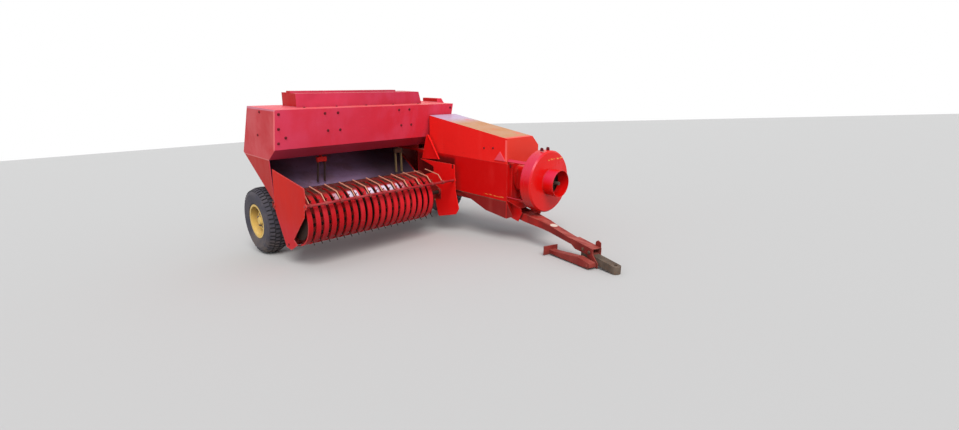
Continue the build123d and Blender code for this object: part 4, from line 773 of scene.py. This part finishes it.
def copied(name, model, places):
    """One piece with a copy of the model at each place. The model goes."""
    copies = []
    for place in places:
        copy = model.copy()
        copy.data = model.data.copy()
        copy.data.transform(place)
        bpy.context.scene.collection.objects.link(copy)
        copies.append(copy)
    bpy.data.objects.remove(model)
    return joined(name, copies)


def settle(piece, body, material):
    """Leans the finished piece with the machine and gives it its finish and its body."""
    piece.data.transform(PARKED)
    dress(piece, material)
    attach(piece, body)
    return piece


print("copy tools ready")

# %% [markdown]
# ### Tyres
# The real tyres are wide implement tyres with four rows of tread blocks. Single
# blocks could be set round the wheel, but then they would only touch the carcass.
# Here the carcass is spun from its section, and faces of its crown are lifted: of
# each three steps round the wheel two are lifted and one stays down as the groove.
# The two middle rows are a step off the shoulders, one to each side.

# %% Block tread
TYRE_STEPS = 141
TREAD_HEIGHT, CROWN_INNER = 0.009, 0.311
SHOULDER, MIDDLE = (0.052, 0.096), (0.006, 0.046)
outer = [(0.095, 0.1605), (0.095, 0.176), (0.103, 0.186), (0.107, 0.19), (0.107, 0.196),
         (0.114, 0.224), (0.116, 0.246), (0.1152, 0.266), (0.1165, 0.27), (0.1145, 0.276),
         (0.109, 0.292), (0.103, 0.302), (SHOULDER[1], 0.3085), (SHOULDER[0], 0.3265),
         (MIDDLE[1], 0.329), (MIDDLE[0], 0.333)]
inner = [(0.078, 0.1605), (0.078, 0.184), (0.1, 0.245), (0.092, 0.282), (0.055, 0.303), (0.0, 0.31)]
tyre_section = ([(-x, r) for x, r in outer] + outer[::-1] + inner
                + [(-x, r) for x, r in inner[-2::-1]])


def pick_faces(piece, chosen):
    """Edit mode with only those faces selected that the test chooses."""
    bpy.ops.object.mode_set(mode="EDIT")
    bpy.ops.mesh.select_mode(type="FACE")
    bpy.ops.mesh.select_all(action="DESELECT")
    bpy.ops.object.mode_set(mode="OBJECT")
    for face in piece.data.polygons:
        face.select = chosen(face)
    bpy.ops.object.mode_set(mode="EDIT")


def crown_block(face):
    """True where a face of the spun carcass belongs to a tread block."""
    centre = face.center
    if math.hypot(centre.y, centre.z) < CROWN_INNER:
        return False
    step = int((math.atan2(centre.y, centre.z) / (2 * math.pi) % 1) * TYRE_STEPS)
    if SHOULDER[0] < abs(centre.x) < SHOULDER[1]:
        return step % 3 != 0
    return MIDDLE[0] < abs(centre.x) < MIDDLE[1] and (step + (2 if centre.x > 0 else 1)) % 3 != 0


tyre = turned("tyre_model", tyre_section, TYRE_STEPS)
pick_faces(tyre, crown_block)
bpy.ops.mesh.extrude_region_shrink_fatten(TRANSFORM_OT_shrink_fatten={"value": TREAD_HEIGHT})
bpy.ops.object.mode_set(mode="OBJECT")
smoothed(tyre, 25)
WHEELS = {"right": Vector((-1.937, 0, AXLE_HEIGHT)), "left": LEVEL_AXLE}
for side, hub in WHEELS.items():
    tread = copied(f"tread_{side}", tyre.copy(), [Matrix.Translation(hub)])
    settle(tread, f"wheel_{side}", tyre_rubber)
    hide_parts(f"tyre_{side}")
bpy.data.objects.remove(tyre)
print("tread faces per tyre", len(tread.data.polygons))

# %% [markdown]
# ### Wheel nuts
# Five nuts on studs hold each rim, and a valve stem stands beside them. A nut is a
# six-sided cylinder whose outer edges are cut back, which looks right from a step
# away and costs far fewer faces than a cut thread.

# %% Nuts and valves


def drum(sides, radius, low, depth):
    """A cylinder that stands along Z from a height."""
    bpy.ops.mesh.primitive_cylinder_add(vertices=sides, radius=radius, depth=depth,
                                        location=(0, 0, low + depth / 2))
    bpy.ops.object.transform_apply()
    return bpy.context.object


def hexagon(radius, height, base):
    """A hexagon head on a round washer, standing on Z 0 and looking along Z."""
    head = drum(6, radius, base, height)
    pick_faces(head, lambda face: face.normal.z > 0.9)
    bpy.ops.mesh.bevel(offset=radius * 0.14)
    bpy.ops.object.mode_set(mode="OBJECT")
    return joined("hexagon_model", [head, drum(18, radius * 1.32, 0, base)])


def upright(name, outline, base=0.0, steps=20):
    """A turned piece that stands along Z, from (height above the base, radius) points."""
    piece = turned(name, [(base + height, radius) for height, radius in outline], steps, closed=False)
    piece.data.transform(Matrix.Rotation(-math.pi / 2, 4, "Y"))
    return piece


def stud_nut():
    """A wheel nut with its stud's end and a seat ring."""
    nut = hexagon(0.0125, 0.014, 0.003)
    stud = upright("stud", [(0.0, 0.0065), (0.021, 0.0065), (0.0228, 0.005), (0.0228, 0.0)], steps=12)
    return joined("nut_model", [nut, stud])


def standing(point, outward, size=1.0, turn=0.0):
    """The place of a model that looks along Z, so that it looks outward from a point."""
    return (Matrix.Translation(point) @ Vector(outward).to_track_quat("Z", "Y").to_matrix().to_4x4()
            @ Matrix.Rotation(turn, 4, "Z") @ Matrix.Scale(size, 4))


RIM_FACE, NUT_CIRCLE, VALVE_FOOT, VALVE_CIRCLE = 0.0455, 0.07, 0.02, 0.128
VALVE = [(0.0, 0.0), (0.0, 0.0075), (0.01, 0.0065), (0.012, 0.0045), (0.03, 0.0045), (0.03, 0.0055),
         (0.04, 0.0055), (0.042, 0.0)]
for side, hub in WHEELS.items():
    out = Vector((-1 if side == "right" else 1, 0, 0))
    turns = [2 * math.pi * i / 5 for i in range(5)]
    ring = [Vector((0, math.sin(turn), math.cos(turn))) for turn in turns]
    nuts = copied(f"wheel_nuts_{side}", stud_nut(),
                  [standing(hub + out * RIM_FACE + arm * NUT_CIRCLE, out) for arm in ring])
    settle(smoothed(nuts, 30), f"wheel_{side}", worked_steel)
    stem = upright("valve_model", VALVE, steps=12)
    foot = hub + out * VALVE_FOOT + Vector((0, 0.6, 0.8)) * VALVE_CIRCLE
    valve = copied(f"valve_{side}", stem, [standing(foot, out)])
    settle(valve, f"wheel_{side}", tyre_rubber)
print("nuts and valves made")

# %% [markdown]
# ### Bolts
# The sheets are bolted together in rows. The table gives each row its first and last
# place on the level machine, the number of bolts, the way they look and their size.
# The places on the hood's front were read from the photograph. All bolts of a body
# become one piece, because nothing moves them apart.

# %% Bolt rows
BOLT_HEAD, BOLT_HEIGHT, BOLT_WASHER = 0.0098, 0.0065, 0.0018
HOOD_OUT = (0, -0.975, -0.223)
LEFT, RIGHT, FRONT, UP = (1, 0, 0), (-1, 0, 0), (0, -1, 0), (0, 0, 1)
BOLT_ROWS = {
    "root": (  # first, last, count, outward, size
        ((-1.966, -0.6095, 1.444), (-1.966, -0.549, 1.179), 3, HOOD_OUT),
        ((-1.899, -0.5605, 1.228), (-1.899, -0.5605, 1.228), 1, HOOD_OUT),
        ((-1.52, -0.6078, 1.436), (-1.384, -0.6078, 1.436), 2, HOOD_OUT),
        ((-1.481, -0.5695, 1.269), (-1.35, -0.5695, 1.269), 2, HOOD_OUT),
        ((-0.665, -0.608, 1.437), (-0.53, -0.608, 1.437), 2, HOOD_OUT),
        ((-0.615, -0.5697, 1.27), (-0.481, -0.5697, 1.27), 2, HOOD_OUT),
        ((0.06, -0.608, 1.438), (0.06, -0.5495, 1.181), 3, HOOD_OUT),
        ((-2.0, -0.275, 1.449), (-2.0, -0.181, 1.229), 2, RIGHT),
        ((-1.64, -0.44, 1.4845), (-0.28, -0.44, 1.4845), 5, UP, 0.9),
        ((-1.64, -0.088, 1.4885), (-0.28, -0.088, 1.4885), 5, UP, 0.9),
        ((-0.243, -1.468, 1.083), (-0.243, -1.595, 1.096), 2, RIGHT, 0.85),
        ((0.243, -0.64, 0.975), (0.243, -1.76, 0.975), 8, LEFT, 0.85),
        ((-0.2, -1.798, 0.93), (0.2, -1.798, 0.93), 3, FRONT),
        ((0.205, -1.798, 0.64), (0.205, -1.798, 0.86), 3, FRONT),
        ((0.243, -1.2, 0.545), (0.243, -1.72, 0.545), 4, LEFT, 0.9),
        ((0.243, -1.54, 0.9), (0.243, -1.54, 0.63), 3, LEFT, 0.9),
        *(((x, 0.5, z), (x, 1.35, z), 4, outward, 0.9)
          for z in (0.9, 0.62) for x, outward in ((0.243, LEFT), (-0.243, RIGHT))),
        *(((0.55, -0.2, z), (0.55, 0.4, z), 3, LEFT, 0.9) for z in (1.08, 0.83)),
    ),
    "pickup": (
        ((-2.02, -0.69, 0.264), (-2.02, -0.69, 0.264), 1, RIGHT, 0.9),
        ((-0.31, -1.083, 0.858), (-0.31, -0.56, 0.85), 2, LEFT, 0.9),
    ),
}


def row_places(first, last, count, outward, size=1.0):
    """The places of a row. Each bolt is turned a little further than the one before."""
    first, last = Vector(first), Vector(last)
    shares = [i / (count - 1) if count > 1 else 0.0 for i in range(count)]
    return [standing(first.lerp(last, share), outward, size, 0.5 * i) for i, share in enumerate(shares)]


def bolted(name, places):
    return smoothed(copied(name, hexagon(BOLT_HEAD, BOLT_HEIGHT, BOLT_WASHER), places), 30)


for body, rows in BOLT_ROWS.items():
    places = [place for row in rows for place in row_places(*row)]
    settle(bolted(f"bolts_{body}", places), body, bolt_steel)
    print("bolts on", body, len(places))

# %% [markdown]
# ### Sheet details at the front
# A stiffening rib is folded into the crank hood's side, three upright ribs stand on
# the front plate, and two clips stand on the flywheel guard's rim. Thin plates with a
# small bevel are enough: the bevel catches the light as a folded edge does.

# %% Ribs and clips
SIDEWAYS = Matrix.Rotation(math.pi / 2, 4, "Z") @ Matrix.Rotation(math.pi / 2, 4, "X")


def slab(name, outline, thickness, bevel=0.0):
    """A plate: its outline of (x, y) corners is filled and made as thick as asked along Z."""
    piece = shape(name, [(x, y, 0) for x, y in outline], faces=[tuple(range(len(outline)))])
    edit_all()
    bpy.ops.mesh.extrude_region_move(TRANSFORM_OT_translate={"value": (0, 0, thickness)})
    bpy.ops.mesh.select_all(action="SELECT")
    bpy.ops.mesh.normals_make_consistent()
    if bevel:
        bpy.ops.mesh.bevel(offset=bevel)
    bpy.ops.object.mode_set(mode="OBJECT")
    return piece


def side_slab(name, outline, x, thickness):
    """A plate across the X axis, from an outline of (y, z) corners."""
    piece = slab(name, outline, thickness, bevel=0.0015)
    piece.data.transform(Matrix.Translation((x, 0, 0)) @ SIDEWAYS)
    return smoothed(piece, 30)


def wire(name, points, radius):
    """A round wire along a line of points."""
    shape(name, points, [(i, i + 1) for i in range(len(points) - 1)])
    bpy.ops.object.convert(target="CURVE")
    bpy.context.object.data.bevel_depth = radius
    bpy.context.object.data.bevel_resolution = 1
    bpy.context.object.data.use_fill_caps = True
    bpy.ops.object.convert(target="MESH")
    return smoothed(bpy.context.object, 50)


rib = side_slab("hood_rib", [(-1.697, 1.073), (-1.772, 0.981), (-1.622, 0.981)], -0.252, 0.009)
settle(rib, "root", crank_hood_paint)
FRONT_RIB = [(-1.822, 0.6), (-1.799, 0.58), (-1.799, 0.965), (-1.822, 0.945)]
fronts = [side_slab(f"front_rib_{i}", FRONT_RIB, x, 0.005) for i, x in enumerate((-0.2, -0.065, 0.196))]
settle(joined("front_ribs", fronts), "root", body_paint)

CLIP = [(-2.102, 1.102), (-2.058, 1.102), (-2.061, 1.127), (-2.069, 1.134), (-2.091, 1.134),
        (-2.099, 1.127)]
clips = [side_slab(f"clip_{i}", CLIP, x, 0.004) for i, x in enumerate((-0.074, 0.02))]
pins = [wire(f"clip_pin_{i}", [(x, -2.08, 1.121), (x + 0.022, -2.08, 1.121)], 0.0042)
        for i, x in enumerate((-0.083, 0.011))]
settle(joined("guard_clips", clips + pins), "root", bolt_steel)
print("ribs and clips made")

# %% [markdown]
# ### Welds on the flywheel guard
# A ring of weld joins the guard's neck to its face, and a seam runs round its rim. A
# bead is a wire round the joint whose surface ripples, as a weld's does.

# %% Guard welds


def bead(name, points, radius):
    """A weld bead along a line: a wire whose surface ripples."""
    piece = wire(name, points, radius)
    for corner in piece.data.vertices:
        corner.co += corner.normal * radius * 0.25 * math.sin(corner.index / 2.3)
    return piece


def ring_points(radius, y, z, count=48):
    turns = [2 * math.pi * i / count for i in range(count + 1)]
    return [(radius * math.cos(turn), y, z + radius * math.sin(turn)) for turn in turns]


DRIVE_HEIGHT = 0.8
welds = [bead("neck_weld", ring_points(0.1315, -2.15, DRIVE_HEIGHT), 0.003),
         bead("rim_seam", ring_points(0.3052, -2.06, DRIVE_HEIGHT), 0.0016)]
settle(joined("guard_welds", welds), "root", guard_paint)
print("guard welds made")

# %% [markdown]
# ### Drawbar details
# The drawbar is swung to one side about its pin, so its details are placed by their
# distance from that pin, their offset to the right and their height. Bolts hold the
# tongue between the two head plates, and weld beads join those plates to the bar.
# They ride on the drawbar, so that they swing with it.

# %% Drawbar bolts and welds
SWUNG = math.radians(17)
ALONG = Vector((-math.sin(SWUNG), -math.cos(SWUNG), 0))
SIDE = Vector((-math.cos(SWUNG), math.sin(SWUNG), 0))
SWING_PIN = Vector((0, -1.7, 0))
HEAD_OUTER, BAR_SIDE = 0.048, 0.04


def on_drawbar(distance, offset, height):
    return SWING_PIN + ALONG * distance + SIDE * offset + Vector((0, 0, height))


head_places = [standing(on_drawbar(distance, way * HEAD_OUTER, height), SIDE * way, 1.25, 0.7 * distance)
               for way in (1, -1) for distance, height in ((1.18, 0.374), (1.262, 0.368))]
settle(bolted("drawbar_bolts", head_places), "drawbar", rusty_steel)

bar_welds = []
for way in (1, -1):
    points = [on_drawbar(1.013, way * (BAR_SIDE + 0.001), 0.372 + 0.0045 * i) for i in range(10)]
    bar_welds.append(bead(f"bar_weld_{way}", points, 0.0035))
settle(joined("drawbar_welds", bar_welds), "drawbar", drawbar_paint)
print("drawbar details made")

# %% [markdown]
# ### Coils
# Each wire of the crop guard ends in a coil round the tube, and each tine in a coil
# round its bar. The coil is what lets a tine give way to a stone. One coil is a helix
# of wire, modelled along Z and laid along X at every place.

# %% Guard and tine coils
GUARD_TUBE, WIRE_GAP = Vector((-1.975, -1.084, 0.7)), 0.15
REEL, TINE_CIRCLE, TINE_GAP = Vector((-1.9375, -0.835, 0.53)), 0.175, 0.075


def coil_points(radius, rise, turns, steps=12):
    """A helix that climbs along Z."""
    return [(radius * math.cos(2 * math.pi * i / steps), radius * math.sin(2 * math.pi * i / steps),
             rise * i / steps) for i in range(round(turns * steps) + 1)]


def laid(point, across):
    """The place of a model along Z that is laid along X, a way across from a point."""
    return Matrix.Translation(point + Vector((across, 0, 0))) @ Matrix.Rotation(math.pi / 2, 4, "Y")


guard_coil = wire("guard_coil", coil_points(0.0165, 0.0085, 3), 0.004)
guard_places = [laid(GUARD_TUBE, WIRE_GAP * i - 0.013) for i in range(11)]
settle(copied("guard_coils", guard_coil, guard_places), "guard", rod_paint)

tine_coil = wire("tine_coil", coil_points(0.0205, 0.007, 2, steps=8), 0.0032)
tine_places = []
for bar in range(4):
    turn = math.radians(45 + 90 * bar)
    bar_end = REEL + Vector((0, math.cos(turn), math.sin(turn))) * TINE_CIRCLE
    tine_places += [laid(bar_end, TINE_GAP * i - 0.007) for i in range(19)]
settle(copied("tine_coils", tine_coil, tine_places), "reel", tine_steel)
print("coils made", len(guard_places), "and", len(tine_places))

# %% [markdown]
# ### Bale tension screws
# Two threaded rods with coil springs press the tension beams together. Cranked
# handles turn them. The thread is turned as rings and not as a helix: from a step
# away they look the same, and rings keep the rod one closed skin. These pieces take
# the place of the plain solids.

# %% Springs and cranked handles
SCREW_X, SCREW_Y, HANDLE_REACH = 0.285, 1.3, 0.102
ROD_END, LOWER_NUT, UPPER_SEAT, SPRING_TOP = 0.484, 0.494, 1.062, 1.192


def threaded(low, high, radius, pitch=0.006):
    """Outline of a rod with thread from low to high."""
    points = [(low, 0.0), (low, radius)]
    for i in range(1, int((high - low) / pitch)):
        points += [(low + (i - 0.5) * pitch, radius - 0.0016), (low + i * pitch, radius)]
    return points + [(high, radius - 0.002), (high, 0.0)]


def moved(piece, y, z):
    piece.data.transform(Matrix.Translation((0, y, z)))
    return piece


def tension_screw():
    """One screw from its lower nut to its handle."""
    spring = wire("spring", coil_points(0.0205, 0.0172, 7.4, steps=16), 0.0048)
    handle = upright("handle", [(0.036, 0.0), (0.036, 0.006), (0.04, 0.0085), (0.075, 0.0105),
                                (0.112, 0.0085), (0.118, 0.0)], SPRING_TOP)
    arm = slab("handle_arm", [(-0.009, 0.0), (0.009, 0.0), (0.0075, 0.104), (0.004, 0.112),
                              (-0.004, 0.112), (-0.0075, 0.104)], 0.009, bevel=0.0015)
    low_nut = hexagon(0.019, 0.014, 0.003)
    low_nut.data.transform(Matrix.Rotation(math.pi, 4, "X"))
    return joined("tension_screw_model", [
        moved(spring, 0, UPPER_SEAT + 0.0015),
        upright("rod", threaded(ROD_END, SPRING_TOP + 0.038, 0.012)),
        upright("washer", [(0, 0.0), (0, 0.027), (0.005, 0.027), (0.005, 0.0)], SPRING_TOP),
        upright("boss", [(0.022, 0.0), (0.022, 0.016), (0.038, 0.016), (0.04, 0.0)], SPRING_TOP),
        moved(handle, HANDLE_REACH, 0), moved(arm, 0, SPRING_TOP + 0.0255),
        moved(hexagon(0.019, 0.016, 0.003), 0, SPRING_TOP + 0.004), moved(low_nut, 0, LOWER_NUT)])


screws = copied("threaded_screws", tension_screw(),
                [Matrix.Translation((x, SCREW_Y, 0)) for x in (-SCREW_X, SCREW_X)])
settle(screws, "root", worked_steel)
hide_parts("tension_screws")
print("tension screws made")

# %% [markdown]
# ### Handles and latches
# The knotter cover gets a bent grip and two rubber latches, the twine box lid a grip.
# Each rides on the part that it is fixed to. The hasp stays on the twine box, because
# the lid lifts off it.

# %% Handles and latches


def grip(name, start, end, outward, reach, radius=0.006):
    """A round bar handle with two bent legs."""
    start, end, out = Vector(start), Vector(end), Vector(outward) * reach
    inset = (end - start).normalized() * 0.012
    points = [start, start + out * 0.75, start + out + inset, end + out - inset, end + out * 0.75, end]
    return wire(name, [tuple(point) for point in points], radius)


cover_grip = grip("cover_grip", (-0.06, 0.392, 1.158), (0.06, 0.392, 1.158), (0, -0.68, 0.73), 0.04)
settle(cover_grip, "knotter_lid", rusty_steel)
lid_grip = grip("lid_grip", (0.515, 0.05, 1.133), (0.515, 0.15, 1.133), (0, 0, 1), 0.03, 0.005)
settle(lid_grip, "twine_box_lid", rusty_steel)

LATCH = [(0.347, 1.01), (0.353, 1.01), (0.353, 1.07), (0.349, 1.08), (0.344, 1.072)]
latches = [side_slab(f"latch_{i}", LATCH, x, 0.024) for i, x in enumerate((-0.162, 0.138))]
settle(joined("cover_latches", latches), "knotter_lid", tyre_rubber)
HASP = [(0.085, 1.05), (0.115, 1.05), (0.115, 1.126), (0.085, 1.126)]
STAPLE = [(0.5525, 0.092, 1.075), (0.5545, 0.094, 1.075), (0.5545, 0.106, 1.075), (0.5525, 0.108, 1.075)]
hasp = joined("hasp", [side_slab("hasp_plate", HASP, 0.55, 0.0025), wire("hasp_staple", STAPLE, 0.002)])
settle(hasp, "root", rusty_steel)
print("handles and latches made")
